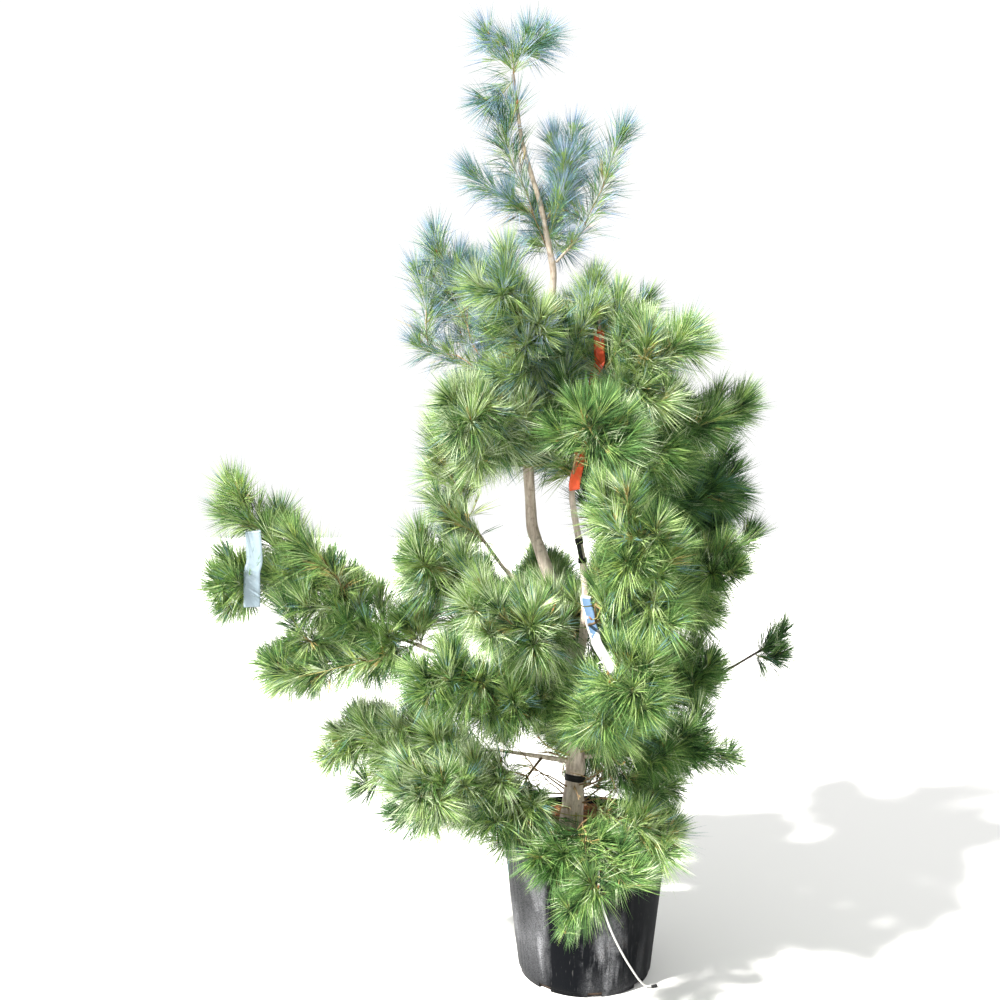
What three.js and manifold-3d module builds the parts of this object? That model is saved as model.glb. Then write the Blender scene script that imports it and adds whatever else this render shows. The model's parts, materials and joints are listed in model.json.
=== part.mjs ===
// A young white pine in a round nursery container: two stems, open whorls of up-swept boughs, and soft
// tufts of long needles. Millimetres, +Z up, the origin at the middle of the container's flat underside,
// and the plant's front towards -Y.
//
// Wood is one tapering solid for each stem and bough. Each foliage mass is one closed body: a needled
// main shoot, with needled side shoots that reach out to a stated width and height, joined together.
import * as THREE from 'three';
import { mergeVertices } from 'three/addons/utils/BufferGeometryUtils.js';
import Module from 'manifold-3d';

const wasm = await Module();
wasm.setup();

// ---------------------------------------------------------------- driving dimensions

const GAP = 0.3; // clearance between neighbouring solids

const POT = {
  height: 380, baseRadius: 171.5, rimRadius: 215, wall: 3, floor: 4,
  lipReach: 7.5, lipHeight: 20, footHeight: 12, footStep: 3,
  facets: 24, drains: 8, drainWidth: 36, drainHeight: 16, drainDepth: 26, drainTurn: 5,
};
const SOIL = { edge: 360, crown: 371, crownRadius: 62 }; // heights of the soil's surface
const FOOT = SOIL.crown + GAP; // height of the flat cut under the trunk

// Stem centre lines, from the foot up: the leader bends left at the fork and comes back to the axis.
const TRUNK = {
  line: [
    [-38, 0, FOOT - 15], [-24, 4, 560], [-24, 8, 720], [-52, 14, 920], [-122, 20, 1090],
    [-153, 20, 1255], [-122, 12, 1480], [-86, 4, 1790], [-112, 0, 1930], [-165, 0, 2100], [-189, 0, 2275],
  ],
  footRadius: 27, tipRadius: 3.5, taper: 0.8, flare: 0.5, flareLength: 0.022, sides: 8,
};
const SECOND_STEM = {
  line: [
    [-20, -8, 770], [-4, -26, 960], [-10, -24, 1060], [-42, -10, 1280],
    [-8, -8, 1380], [25, -4, 1480], [32, 0, 1600], [24, 0, 1700],
  ],
  footRadius: 13, tipRadius: 4, taper: 0.8, flare: 0.25, flareLength: 0.03, sides: 6,
};

// Side shoots leave the main shoot between two shares of its length and turn round it. Each runs
// forward by a share of its spread and of its radius, and is from `slim` to `full` times the main
// shoot's radius.
const SIDE_SHOOT = { first: 0.08, last: 0.88, turn: 137.5, forward: 0.55, lead: 0.6, slim: 0.84, full: 1.04 };
const WIDEST = 0.4; // the share of a mass's length at which it spreads widest
const SHOOT_SIDES = 5;
const SEGMENT = 180; // length of one straight stretch of a mass's main shoot
const UNEVEN = 0.13; // share by which a needled shoot's radius varies
const END_SHARE = 0.72; // a needled shoot's radius at its foot and tip, as a share of its widest
const BUD = 0.5; // how far its pointed tip stands out, as a share of the radius there
const NECK = 0.15; // where needles cover a bough right from its stem, the mass's radius there, as a share
const BOUGH_SIDES = 5;
const BITE = 0.04; // how far a bough's wood runs on into its mass, as a share of its length
const WOOD_TIP = 0.45; // a bough's girth where it enters its mass, as a share of that at its foot

// One row for each bough. foot is its height on its stem, or the share of another bough that it grows
// from, bearing its compass angle (0 = +X, 90 = +Y), reach and rise place its tip, and bow bends it:
// above 0 it runs out first and then turns up. girth is its diameter at the foot, where its wood is a
// solid of its own. Needles cover it from one share of its length to another. Its mass spreads to width
// and height on each side of the main shoot, with that many side shoots, the first at an angle `turn`
// round the main shoot, each `fat` in radius.
const COLUMNS = [
  'name', 'stem', 'foot', 'bearing', 'reach', 'rise', 'bow', 'girth', 'from', 'to', 'width', 'height',
  'shoots', 'turn', 'fat',
];
const LONG = ['trunk', 712, 184, 890, 585, 0.65];
const BOUGHS = [
  ['top', 'trunk', 2225, 8, 52, 185, -0.5, 0, 0, 1, 80, 190, 2, 80, 46],
  ['upper_left', 'trunk', 1815, 180, 188, 430, -0.1, 0, 0.06, 1, 80, 140, 2, 270, 72],
  ['upper_right', 'trunk', 1818, -5, 175, 335, 0.6, 11, 0.2, 1, 80, 100, 2, 250, 62],
  ['upper_inner', 'trunk', 1822, 30, 50, 335, 0.5, 0, 0.28, 1, 52, 52, 0, 0, 54],
  ['upper_back', 'trunk', 1812, 85, 210, 290, 0.3, 0, 0.17, 1, 75, 75, 1, 0, 62],
  ['crown_front', 'trunk', 1500, -108, 300, 290, 0.4, 0, 0, 1, 140, 130, 3, 0, 80],
  ['crown_left', 'trunk', 1560, 150, 220, 280, 0.4, 0, 0.17, 1, 120, 140, 2, 90, 72],
  ['crown_right', 'second', 1420, -32, 230, 232, 0.2, 12, 0.2, 1, 140, 175, 3, 270, 70],
  ['crown_back', 'trunk', 1540, 62, 330, 195, 0.4, 0, 0.17, 1, 160, 170, 2, 90, 84],
  ['stem_top', 'second', 1610, 150, 20, 180, 0.0, 0, 0.17, 1, 62, 62, 0, 0, 56],
  ['left_tufts', 'trunk', 1375, 180, 245, 535, 0.5, 13, 0.26, 1, 70, 190, 3, 285, 56],
  ['shoulder_left', 'trunk', 1300, -132, 280, 180, 0.3, 0, 0, 1, 150, 170, 2, 90, 92],
  ['shoulder_front', 'second', 1290, -84, 390, 180, 0.4, 0, 0, 1, 165, 160, 2, 90, 92],
  ['shoulder_right', 'second', 1300, 2, 425, 150, 0.2, 0, 0, 1, 170, 190, 3, 280, 84],
  ['shoulder_rear', 'second', 1270, 20, 500, -30, 0.4, 0, 0.2, 1, 150, 170, 2, 270, 84],
  ['shoulder_back', 'trunk', 1350, 95, 480, 200, 0.4, 0, 0, 1, 210, 150, 2, 10, 96],
  ['left_column', 'trunk', 930, 158, 360, 490, 0.8, 16, 0.53, 1, 66, 66, 0, 0, 60],
  ['mid_left', 'trunk', 900, -170, 415, 210, 0.4, 16, 0.2, 1, 150, 170, 3, 270, 78],
  ['mid_front', 'second', 890, -72, 460, 360, 0.4, 0, 0, 1, 250, 210, 3, 125, 94],
  ['mid_front_left', 'trunk', 880, -115, 450, 150, 0.4, 0, 0.17, 1, 160, 150, 3, 90, 82],
  ['mid_right', 'trunk', 890, 8, 415, 180, 0.4, 16, 0.25, 1, 160, 210, 3, 90, 84],
  ['mid_rear', 'trunk', 900, 33, 500, 340, 0.5, 0, 0, 1, 170, 190, 2, 90, 96],
  ['mid_back', 'trunk', 880, 100, 480, 90, 0.2, 0, 0.17, 1, 210, 130, 2, 190, 96],
  ['long_left', ...LONG, 22, 0.36, 0.74, 80, 150, 4, 250, 74],
  ['long_tip', ...LONG, 0, 0.745, 1, 75, 140, 2, 200, 68],
  ['long_fork', 'long_left', 0.7, 188, 232, -45, 0.3, 0, 0.17, 1, 60, 100, 1, 270, 66],
  ['long_droop', 'long_left', 0.54, 188, 252, -170, -0.4, 0, 0.25, 1, 60, 90, 1, 90, 64],
  ['lower_left', 'trunk', 690, -142, 510, 175, 0.3, 0, 0, 1, 150, 180, 3, 90, 84],
  ['lower_right', 'trunk', 700, 3, 345, 100, 0.3, 17, 0.2, 1, 150, 170, 3, 90, 80],
  ['lower_front', 'trunk', 690, -78, 500, 175, 0.3, 0, 0, 1, 230, 190, 3, 180, 94],
  ['lower_back', 'trunk', 700, 110, 540, 180, 0.4, 17, 0.25, 1, 210, 150, 2, 10, 96],
  ['base_left', 'trunk', 545, -174, 600, 95, -0.2, 17, 0.3, 1, 130, 140, 3, 270, 72],
  ['skirt_left', 'trunk', 520, -150, 510, 35, -0.5, 0, 0.2, 1, 150, 180, 3, 270, 84],
  ['base_right', 'trunk', 560, -22, 382, 62, 0.0, 17, 0.2, 1, 150, 190, 3, 270, 84],
  ['base_back', 'trunk', 550, 75, 470, 60, 0.0, 0, 0, 1, 210, 130, 2, 190, 92],
  ['far_right', 'trunk', 590, 21, 615, 240, 0.3, 12, 0.86, 1, 40, 40, 0, 0, 50],
  ['low_front', 'trunk', 455, -86, 395, -100, -0.5, 0, 0.2, 1, 200, 150, 3, 20, 74],
  ['low_left', 'trunk', 460, -138, 335, 0, -0.4, 0, 0.2, 1, 120, 90, 2, 0, 64],
  ['low_right', 'trunk', 450, -38, 270, -45, -0.5, 0, 0.2, 1, 130, 90, 2, 0, 64],
].map((row) => Object.fromEntries(row.map((value, i) => [COLUMNS[i], value])));
const byName = Object.fromEntries(BOUGHS.map((bough) => [bough.name, bough]));

// The foliage stays outside this sleeve round the container, its rim and the drip tube.
const SLEEVE = { radius: 241, height: 391, facets: 16 };

// A slip-on label hangs from the second stem and one from the long bough, and a marker tape from the
// second stem. Each is a strip through points [x, z] from its top, leaning out from the plant.
const LABEL = {
  width: 26, thickness: 1, height: 990, lean: 20, line: [[0, 0], [6, -60], [24, -115], [58, -190]],
};
const BOUGH_LABEL = {
  width: 40, thickness: 1, share: 0.85, sink: -52, lean: 14, line: [[0, 0], [-3, -90], [-12, -190]],
};
const TAPE = {
  width: 30, thickness: 1, height: 1640, lean: 5,
  line: [[0, 15], [-4, -80], [-38, -240], [-50, -310], [-76, -385]],
};

// The white drip tube comes up out of the soil, over the rim and down the wall to the ground.
const TUBE = {
  radius: 2.5, sides: 8, step: 15,
  line: [
    [14, -195, 361.4], [14, -195, 366], [14, -197.9, 375], [14.3, -205.5, 381.9], [14.7, -215, 384.2],
    [15, -224.5, 381.9], [15.4, -232.1, 375], [15.8, -235, 364], [16, -232, 345], [18, -219, 305],
    [25, -207, 265],
    [38, -198.5, 221], [57, -187, 170], [83, -170, 113], [110, -149, 61], [130, -134, 27], [145, -126, 10],
    [160, -121, 4.3],
  ],
};
const PLUG = { radius: 4, length: 16 };

const BARK = { color: 0x7d6a55, roughness: 0.9, metalness: 0 };
const NEEDLES = { color: 0x6f9a3c, roughness: 0.6, metalness: 0 };
const TOP_NEEDLES = { color: 0x6f978c, roughness: 0.6, metalness: 0 };
const BLACK_PLASTIC = { color: 0x17181b, roughness: 0.55, metalness: 0 };
const WHITE_PLASTIC = { color: 0xe8eef2, roughness: 0.4, metalness: 0 };
const ORANGE_FILM = { color: 0xf05a28, roughness: 0.45, metalness: 0 };
const SOIL_BROWN = { color: 0x3a2a1c, roughness: 1, metalness: 0 };

// ---------------------------------------------------------------- solids

const group = new THREE.Group();
const rad = THREE.MathUtils.degToRad;
const lerp = THREE.MathUtils.lerp;
const UP = new THREE.Vector3(0, 0, 1);

// A repeatable share from 0 to 1 for any three whole numbers.
function share(seed, i, k) {
  const s = Math.sin(seed * 12.9898 + i * 78.233 + k * 37.719) * 43758.5453;
  return s - Math.floor(s);
}

function solid(geometry) {
  const bare = geometry.clone();
  bare.deleteAttribute('normal');
  bare.deleteAttribute('uv');
  const merged = mergeVertices(bare, 1e-4);
  return new wasm.Manifold(
    new wasm.Mesh({
      numProp: 3,
      vertProperties: merged.attributes.position.array,
      triVerts: new Uint32Array(merged.index.array),
    }),
  );
}

function geometryOf(body) {
  const mesh = body.getMesh();
  return new THREE.BufferGeometry()
    .setAttribute('position', new THREE.BufferAttribute(mesh.vertProperties, 3))
    .setIndex(new THREE.BufferAttribute(mesh.triVerts, 1));
}

function largest(body) {
  return body.decompose().reduce((a, b) => (a.volume() > b.volume() ? a : b));
}

function add(name, body, finish) {
  const mesh = new THREE.Mesh(geometryOf(body), new THREE.MeshStandardMaterial(finish));
  mesh.name = name;
  group.add(mesh);
}

// A closed round bar along a curve, with a ring of `sides` corners at each of the stations, which are
// shares of its length, and pointed ends that stand out by `nose` times the end radius.
const FRAMES = 120;
function bar(curve, stations, sides, radiusAt, nose = 0) {
  const frames = curve.computeFrenetFrames(FRAMES);
  const tube = new THREE.CylinderGeometry(1, 1, 1, sides, stations.length - 1);
  tube.deleteAttribute('normal');
  tube.deleteAttribute('uv');
  const shape = mergeVertices(tube, 1e-4);
  const at = shape.attributes.position;
  for (let v = 0; v < at.count; v++) {
    const ring = Math.round((at.getY(v) + 0.5) * (stations.length - 1));
    const frame = Math.round(stations[ring] * FRAMES);
    const axial = Math.hypot(at.getX(v), at.getZ(v)) < 0.5;
    const corner = Math.round((Math.atan2(at.getZ(v), at.getX(v)) / (2 * Math.PI)) * sides + sides) % sides;
    const radius = radiusAt(stations[ring], axial ? 0 : ring, corner);
    const end = ring === 0 ? -1 : 1;
    const point = curve.getPointAt(frame / FRAMES);
    point.addScaledVector(frames.normals[frame], at.getX(v) * radius);
    point.addScaledVector(frames.binormals[frame], -at.getZ(v) * radius);
    if (axial) point.addScaledVector(frames.tangents[frame], end * nose * radius);
    at.setXYZ(v, point.x, point.y, point.z);
  }
  return solid(shape);
}

const steps = (count) => Array.from({ length: count + 1 }, (_, i) => i / count);

// A smooth curve through a list of points [x, y, z].
function smooth(line) {
  const points = line.map(([x, y, z]) => new THREE.Vector3(x, y, z));
  return new THREE.CatmullRomCurve3(points, false, 'centripetal');
}

// ---------------------------------------------------------------- stems

const stemCurve = (stem) => smooth(stem.line);

function stemRadius(stem, s) {
  const flare = 1 + stem.flare * Math.exp(-s / stem.flareLength);
  return lerp(stem.footRadius, stem.tipRadius, s ** stem.taper) * flare;
}

function stemSolid(stem, grow = 0) {
  const stations = [0, 2 / FRAMES, 5 / FRAMES, ...steps(12).slice(1)];
  return bar(stemCurve(stem), stations, stem.sides, (s) => stemRadius(stem, s) + grow);
}

// The share of a stem's length at which its centre line reaches a height.
function stemShare(stem, height) {
  const curve = stemCurve(stem);
  let low = 0;
  let high = 1;
  for (let i = 0; i < 20; i++) {
    const middle = (low + high) / 2;
    if (curve.getPointAt(middle).z < height) low = middle;
    else high = middle;
  }
  return low;
}

const stemPoint = (stem, height) => stemCurve(stem).getPointAt(stemShare(stem, height));

const STEMS = { trunk: TRUNK, second: SECOND_STEM };

// ---------------------------------------------------------------- boughs and their masses

function boughCurve(bough) {
  const foot = STEMS[bough.stem]
    ? stemPoint(STEMS[bough.stem], bough.foot)
    : boughCurve(byName[bough.stem]).getPointAt(bough.foot);
  const out = new THREE.Vector3(Math.cos(rad(bough.bearing)), Math.sin(rad(bough.bearing)), 0);
  const knee = foot.clone().addScaledVector(out, bough.reach * (0.5 + 0.35 * bough.bow));
  knee.addScaledVector(UP, bough.rise * (0.5 - 0.35 * bough.bow));
  const tip = foot.clone().addScaledVector(out, bough.reach).addScaledVector(UP, bough.rise);
  return new THREE.QuadraticBezierCurve3(foot, knee, tip);
}

// The stretch of a curve between two shares of its length.
function stretch(curve, from, to, count = 4) {
  return new THREE.CatmullRomCurve3(steps(count).map((s) => curve.getPointAt(lerp(from, to, s))));
}

function boughSolid(bough, grow = 0) {
  const foot = bough.girth / 2;
  const wood = stretch(boughCurve(bough), 0, bough.from + BITE);
  return bar(wood, steps(2), BOUGH_SIDES, (s) => lerp(foot, foot * WOOD_TIP, s) + grow, grow ? 0.1 : 0);
}

// A shoot with its needles: an uneven bar, widest at its middle, whose foot is a share of its width.
function needled({ curve, count, radius, seed, neck = END_SHARE }, grow) {
  const swell = (s) => (s === 0 ? neck : lerp(END_SHARE, 1, Math.sin(Math.PI * s)));
  return bar(curve, steps(count), SHOOT_SIDES, (s, ring, corner) => {
    const uneven = 1 + UNEVEN * (2 * share(seed, ring, corner) - 1);
    return radius * swell(s) * uneven + grow;
  }, BUD);
}

// One foliage mass: the needled main shoot and its side shoots, joined.
function massSolid(bough, seed, grow = 0) {
  const curve = boughCurve(bough);
  const radius = bough.fat;
  const length = curve.getLength() * (bough.to - bough.from);
  const main = stretch(curve, bough.from, bough.to);
  const count = Math.max(2, Math.round(length / SEGMENT));
  const neck = bough.from ? undefined : NECK;
  let body = needled({ curve: main, count, radius, seed, neck }, grow);
  for (let i = 0; i < bough.shoots; i++) {
    const along = lerp(SIDE_SHOOT.first, SIDE_SHOOT.last, (i + 0.5) / bough.shoots);
    const roll = rad(bough.turn + SIDE_SHOOT.turn * i);
    const start = main.getPointAt(along);
    const forward = main.getTangentAt(along);
    const side = new THREE.Vector3().crossVectors(forward, UP).normalize();
    const over = new THREE.Vector3().crossVectors(side, forward);
    const wane = Math.sqrt(1 - (along - WIDEST) ** 2);
    const spread = side.multiplyScalar(Math.cos(roll) * (bough.width - radius) * wane);
    spread.addScaledVector(over, Math.sin(roll) * (bough.height - radius) * wane);
    const run = SIDE_SHOOT.forward * spread.length() + SIDE_SHOOT.lead * radius;
    const knee = start.clone().addScaledVector(spread, 2 / 3).addScaledVector(forward, run / 4);
    const tip = start.clone().add(spread).addScaledVector(forward, run);
    const shoot = new THREE.QuadraticBezierCurve3(start, knee, tip);
    const fat = radius * lerp(SIDE_SHOOT.slim, SIDE_SHOOT.full, share(seed, i, 5));
    body = body.add(needled({ curve: shoot, count: 1, radius: fat, seed: seed + i + 1 }, grow));
  }
  return body;
}

// ---------------------------------------------------------------- the plant

// Everything below the trunk's foot, for the flat cut.
const below = new THREE.BoxGeometry(POT.rimRadius, POT.rimRadius, FOOT).translate(0, 0, FOOT / 2);
add('trunk', stemSolid(TRUNK).subtract(solid(below)), BARK);
add('second_stem', largest(stemSolid(SECOND_STEM).subtract(stemSolid(TRUNK, GAP))), BARK);
let wood = stemSolid(TRUNK, GAP).add(stemSolid(SECOND_STEM, GAP));

for (const bough of BOUGHS.filter((b) => b.girth)) {
  add('bough_' + bough.name, largest(boughSolid(bough).subtract(wood)), BARK);
  wood = wood.add(boughSolid(bough, GAP));
}

// ---------------------------------------------------------------- labels, tape and drip tube

// A flat strip of a width through points [x, z] that hangs from an anchor and leans out to the front.
function strip({ line, width, thickness, lean }, anchor, grow = 0) {
  const points = line.map(([x, z]) => new THREE.Vector2(x, z));
  const side = (sign) => points.map((point, i) => {
    const before = points[Math.max(i - 1, 0)];
    const after = points[Math.min(i + 1, points.length - 1)];
    const along = after.clone().sub(before).normalize();
    return new THREE.Vector2(-along.y, along.x).multiplyScalar(sign * (width / 2 + grow)).add(point);
  });
  const shape = new THREE.Shape([...side(1), ...side(-1).reverse()]);
  const slab = new THREE.ExtrudeGeometry(shape, { depth: thickness + 2 * grow, bevelEnabled: false });
  slab.translate(0, 0, -grow).rotateX(Math.PI / 2 + rad(-lean));
  return solid(slab.translate(anchor.x, anchor.y, anchor.z));
}

// The point on the front of a faceted stem at a height.
function frontOfStem(stem, height) {
  const radius = stemRadius(stem, stemShare(stem, height)) * Math.cos(Math.PI / stem.sides);
  return stemPoint(stem, height).add(new THREE.Vector3(0, -radius - GAP, 0));
}

const STRIPS = {
  hang_label: [LABEL, frontOfStem(SECOND_STEM, LABEL.height)],
  marker_tape: [TAPE, frontOfStem(SECOND_STEM, TAPE.height)],
  bough_label: [
    BOUGH_LABEL,
    boughCurve(byName.long_left).getPointAt(BOUGH_LABEL.share).add(new THREE.Vector3(0, BOUGH_LABEL.sink, 0)),
  ],
};
const STRIP_FINISH = { hang_label: WHITE_PLASTIC, marker_tape: ORANGE_FILM, bough_label: WHITE_PLASTIC };

const sleeve = new THREE.CylinderGeometry(SLEEVE.radius, SLEEVE.radius, 2 * SLEEVE.height, SLEEVE.facets);
let taken = wood.add(solid(sleeve.rotateX(Math.PI / 2)));
for (const [name, [form, anchor]] of Object.entries(STRIPS)) {
  add(name, largest(strip(form, anchor).subtract(wood)), STRIP_FINISH[name]);
  taken = taken.add(strip(form, anchor, GAP));
}

BOUGHS.forEach((bough, seed) => {
  const body = largest(massSolid(bough, seed).subtract(taken));
  add('foliage_' + bough.name, body, bough.foot > 1800 ? TOP_NEEDLES : NEEDLES);
  taken = taken.add(massSolid(bough, seed, GAP));
});

// ---------------------------------------------------------------- the container

// A solid of revolution about the container's axis, from a closed profile of [radius, height] points.
function turned(points) {
  const outline = points.map(([r, z]) => new THREE.Vector2(r, z));
  const lathe = new THREE.LatheGeometry(outline, POT.facets);
  return solid(lathe.rotateX(Math.PI / 2));
}

const wallRadius = (z) => lerp(POT.baseRadius, POT.rimRadius, z / POT.height);

// The container: a plain underside, a step above the foot, a straight flared wall and a turned-out lip.
function potSolid() {
  const shoulder = POT.height - POT.lipHeight;
  const lip = POT.rimRadius + POT.lipReach;
  let body = turned([
    [0, 0],
    [POT.baseRadius - POT.footStep, 0],
    [wallRadius(POT.footHeight) - POT.footStep, POT.footHeight],
    [wallRadius(POT.footHeight), POT.footHeight + POT.footStep],
    [wallRadius(shoulder), shoulder],
    [lip - 2, shoulder + 2],
    [lip, POT.height - 3],
    [lip - 3, POT.height],
    [POT.rimRadius - POT.wall, POT.height],
    [wallRadius(POT.floor) - POT.wall, POT.floor],
    [0, POT.floor],
  ]);
  for (let i = 0; i < POT.drains; i++) {
    const drain = new THREE.BoxGeometry(POT.drainDepth, POT.drainWidth, POT.drainHeight);
    drain.translate(POT.baseRadius, 0, POT.drainHeight / 2 - 1);
    drain.rotateZ(rad(POT.drainTurn + (360 * i) / POT.drains));
    body = body.subtract(solid(drain));
  }
  return body;
}

// The root ball fills the container up to a low mound round the trunk.
function soilSolid() {
  const inner = (z) => lerp(wallRadius(POT.floor), POT.rimRadius, (z - POT.floor) / (POT.height - POT.floor));
  const bottom = POT.floor + GAP;
  return turned([
    [0, bottom],
    [inner(bottom) - POT.wall - GAP, bottom],
    [inner(SOIL.edge) - POT.wall - GAP, SOIL.edge],
    [SOIL.crownRadius * 2, (SOIL.edge + SOIL.crown) / 2],
    [SOIL.crownRadius, SOIL.crown],
    [0, SOIL.crown],
  ]);
}

// The tube's end plug lies on the ground in line with the tube's end.
function tubeAndPlug() {
  const route = smooth(TUBE.line);
  const section = new THREE.Shape(steps(TUBE.sides).slice(1).map((s) => (
    new THREE.Vector2(Math.cos(2 * Math.PI * s), Math.sin(2 * Math.PI * s)).multiplyScalar(TUBE.radius))));
  const count = Math.round(route.getLength() / TUBE.step);
  const tube = new THREE.ExtrudeGeometry(section, { steps: count, extrudePath: route });
  add('drip_tube', solid(tube), WHITE_PLASTIC);
  const plug = new THREE.CylinderGeometry(PLUG.radius, PLUG.radius, PLUG.length, TUBE.sides);
  const end = route.getPointAt(1);
  const out = route.getTangentAt(1).setZ(0).normalize();
  plug.rotateZ(-Math.PI / 2).rotateZ(Math.atan2(out.y, out.x));
  end.addScaledVector(out, PLUG.length / 2 + GAP + TUBE.radius / 2);
  add('drip_plug', solid(plug.translate(end.x, end.y, end.z)), BLACK_PLASTIC);
}

tubeAndPlug();
add('pot', potSolid(), BLACK_PLASTIC);
add('root_ball', soilSolid(), SOIL_BROWN);

export default group;
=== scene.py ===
import json
import math

import bmesh
import bpy
import numpy as np
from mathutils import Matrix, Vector, noise
from mathutils.bvhtree import BVHTree
from mathutils.kdtree import KDTree

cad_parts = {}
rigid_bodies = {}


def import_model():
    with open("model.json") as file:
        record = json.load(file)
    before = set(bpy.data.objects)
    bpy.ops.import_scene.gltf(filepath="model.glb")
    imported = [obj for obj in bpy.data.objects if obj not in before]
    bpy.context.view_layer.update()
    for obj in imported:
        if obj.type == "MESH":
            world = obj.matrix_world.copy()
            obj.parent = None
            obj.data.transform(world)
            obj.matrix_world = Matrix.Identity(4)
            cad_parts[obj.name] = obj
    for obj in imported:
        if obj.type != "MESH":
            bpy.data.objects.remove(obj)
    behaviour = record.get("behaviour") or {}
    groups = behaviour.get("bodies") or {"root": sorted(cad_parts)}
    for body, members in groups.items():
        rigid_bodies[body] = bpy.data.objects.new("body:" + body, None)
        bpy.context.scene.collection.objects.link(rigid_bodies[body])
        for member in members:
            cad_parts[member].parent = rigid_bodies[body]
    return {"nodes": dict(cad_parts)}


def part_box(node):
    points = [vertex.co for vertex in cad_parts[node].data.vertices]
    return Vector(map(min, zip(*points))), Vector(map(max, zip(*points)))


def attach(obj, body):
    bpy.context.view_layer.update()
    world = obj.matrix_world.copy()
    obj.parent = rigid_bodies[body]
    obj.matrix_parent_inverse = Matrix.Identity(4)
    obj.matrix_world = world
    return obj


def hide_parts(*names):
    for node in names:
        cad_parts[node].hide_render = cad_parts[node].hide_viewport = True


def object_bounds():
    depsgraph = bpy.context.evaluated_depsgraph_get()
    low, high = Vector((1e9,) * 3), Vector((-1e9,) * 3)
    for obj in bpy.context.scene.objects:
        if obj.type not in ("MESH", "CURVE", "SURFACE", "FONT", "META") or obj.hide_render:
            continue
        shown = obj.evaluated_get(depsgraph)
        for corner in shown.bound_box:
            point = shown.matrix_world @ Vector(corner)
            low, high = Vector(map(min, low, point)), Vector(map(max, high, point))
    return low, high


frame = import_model()
NODES = frame["nodes"]
cad_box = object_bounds()
scene = bpy.context.scene

# ---------------------------------------------------------------- camera
LENS = 41.98
SENSOR = 36.0
CAMERA_PLACE = (-0.221, -2.94, 1.50)
CAMERA_DOWN = 5.3

camera_data = bpy.data.cameras.new("camera")
camera_data.lens = LENS
camera_data.sensor_width = SENSOR
camera_data.clip_end = 60.0
camera = bpy.data.objects.new("camera", camera_data)
camera.location = CAMERA_PLACE
camera.rotation_euler = (math.radians(90.0 - CAMERA_DOWN), 0.0, 0.0)
scene.collection.objects.link(camera)
scene.camera = camera
scene.view_settings.view_transform = "Standard"
scene.view_settings.look = "None"


# ---------------------------------------------------------------- directions
UP = np.array([0.0, 0.0, 1.0])
LEVEL = np.array([1.0, 1.0, 0.0])
# The sun stands to the left of the camera and above it, by these angles in degrees.
SUN_ROUND = -52.0
SUN_HEIGHT = 44.0
SUN_WAY = np.array(
    [
        math.sin(math.radians(SUN_ROUND)) * math.cos(math.radians(SUN_HEIGHT)),
        -math.cos(math.radians(SUN_ROUND)) * math.cos(math.radians(SUN_HEIGHT)),
        math.sin(math.radians(SUN_HEIGHT)),
    ]
)


# ---------------------------------------------------------------- small tools
def srgb(red, green, blue):
    """A colour given as 0 to 255 on a screen, as the linear colour a shader wants."""
    out = []
    for part in (red, green, blue):
        part = part / 255.0
        out.append(part / 12.92 if part <= 0.04045 else ((part + 0.055) / 1.055) ** 2.4)
    return (*out, 1.0)


def unit(vectors):
    """The vectors at length one."""
    return vectors / np.maximum(np.linalg.norm(vectors, axis=-1, keepdims=True), 1e-9)


def sides_of(axes):
    """Two directions square to each axis and to each other."""
    helper = np.where(np.abs(axes[:, 2:3]) < 0.8, [[0.0, 0.0, 1.0]], [[1.0, 0.0, 0.0]])
    first = unit(np.cross(axes, helper))
    return first, np.cross(axes, first)


def mesh_object(name, points, corners, counts, materials, which=None, smooth=False):
    """A mesh object from arrays: corners lists each face's points in turn, counts says how many each has."""
    mesh = bpy.data.meshes.new(name)
    mesh.vertices.add(len(points))
    mesh.vertices.foreach_set("co", np.ascontiguousarray(points, np.float32).ravel())
    mesh.loops.add(len(corners))
    mesh.loops.foreach_set("vertex_index", np.ascontiguousarray(corners, np.int32))
    starts = np.concatenate([[0], np.cumsum(counts)[:-1]]).astype(np.int32)
    mesh.polygons.add(len(counts))
    mesh.polygons.foreach_set("loop_start", starts)
    for material in materials:
        mesh.materials.append(material)
    if which is not None:
        mesh.polygons.foreach_set("material_index", np.ascontiguousarray(which, np.int32))
    mesh.polygons.foreach_set("use_smooth", np.full(len(counts), smooth, bool))
    mesh.update(calc_edges=True)
    mesh.validate()
    made = bpy.data.objects.new(name, mesh)
    scene.collection.objects.link(made)
    return made


class Heap:
    """Points and faces gathered from many small shapes, for one mesh."""

    def __init__(self):
        self.points = []
        self.corners = []
        self.counts = []
        self.which = []
        self.total = 0

    def add(self, points, faces, which=0):
        """Takes in one shape; which is the number of its material."""
        self.points.append(np.asarray(points, float))
        for face in faces:
            self.corners.extend(corner + self.total for corner in face)
            self.counts.append(len(face))
            self.which.append(which)
        self.total += len(points)

    def made(self, name, materials, smooth=True):
        """All that was taken in, as one mesh object."""
        points = np.concatenate(self.points)
        return mesh_object(name, points, self.corners, self.counts, materials, self.which, smooth)


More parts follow.
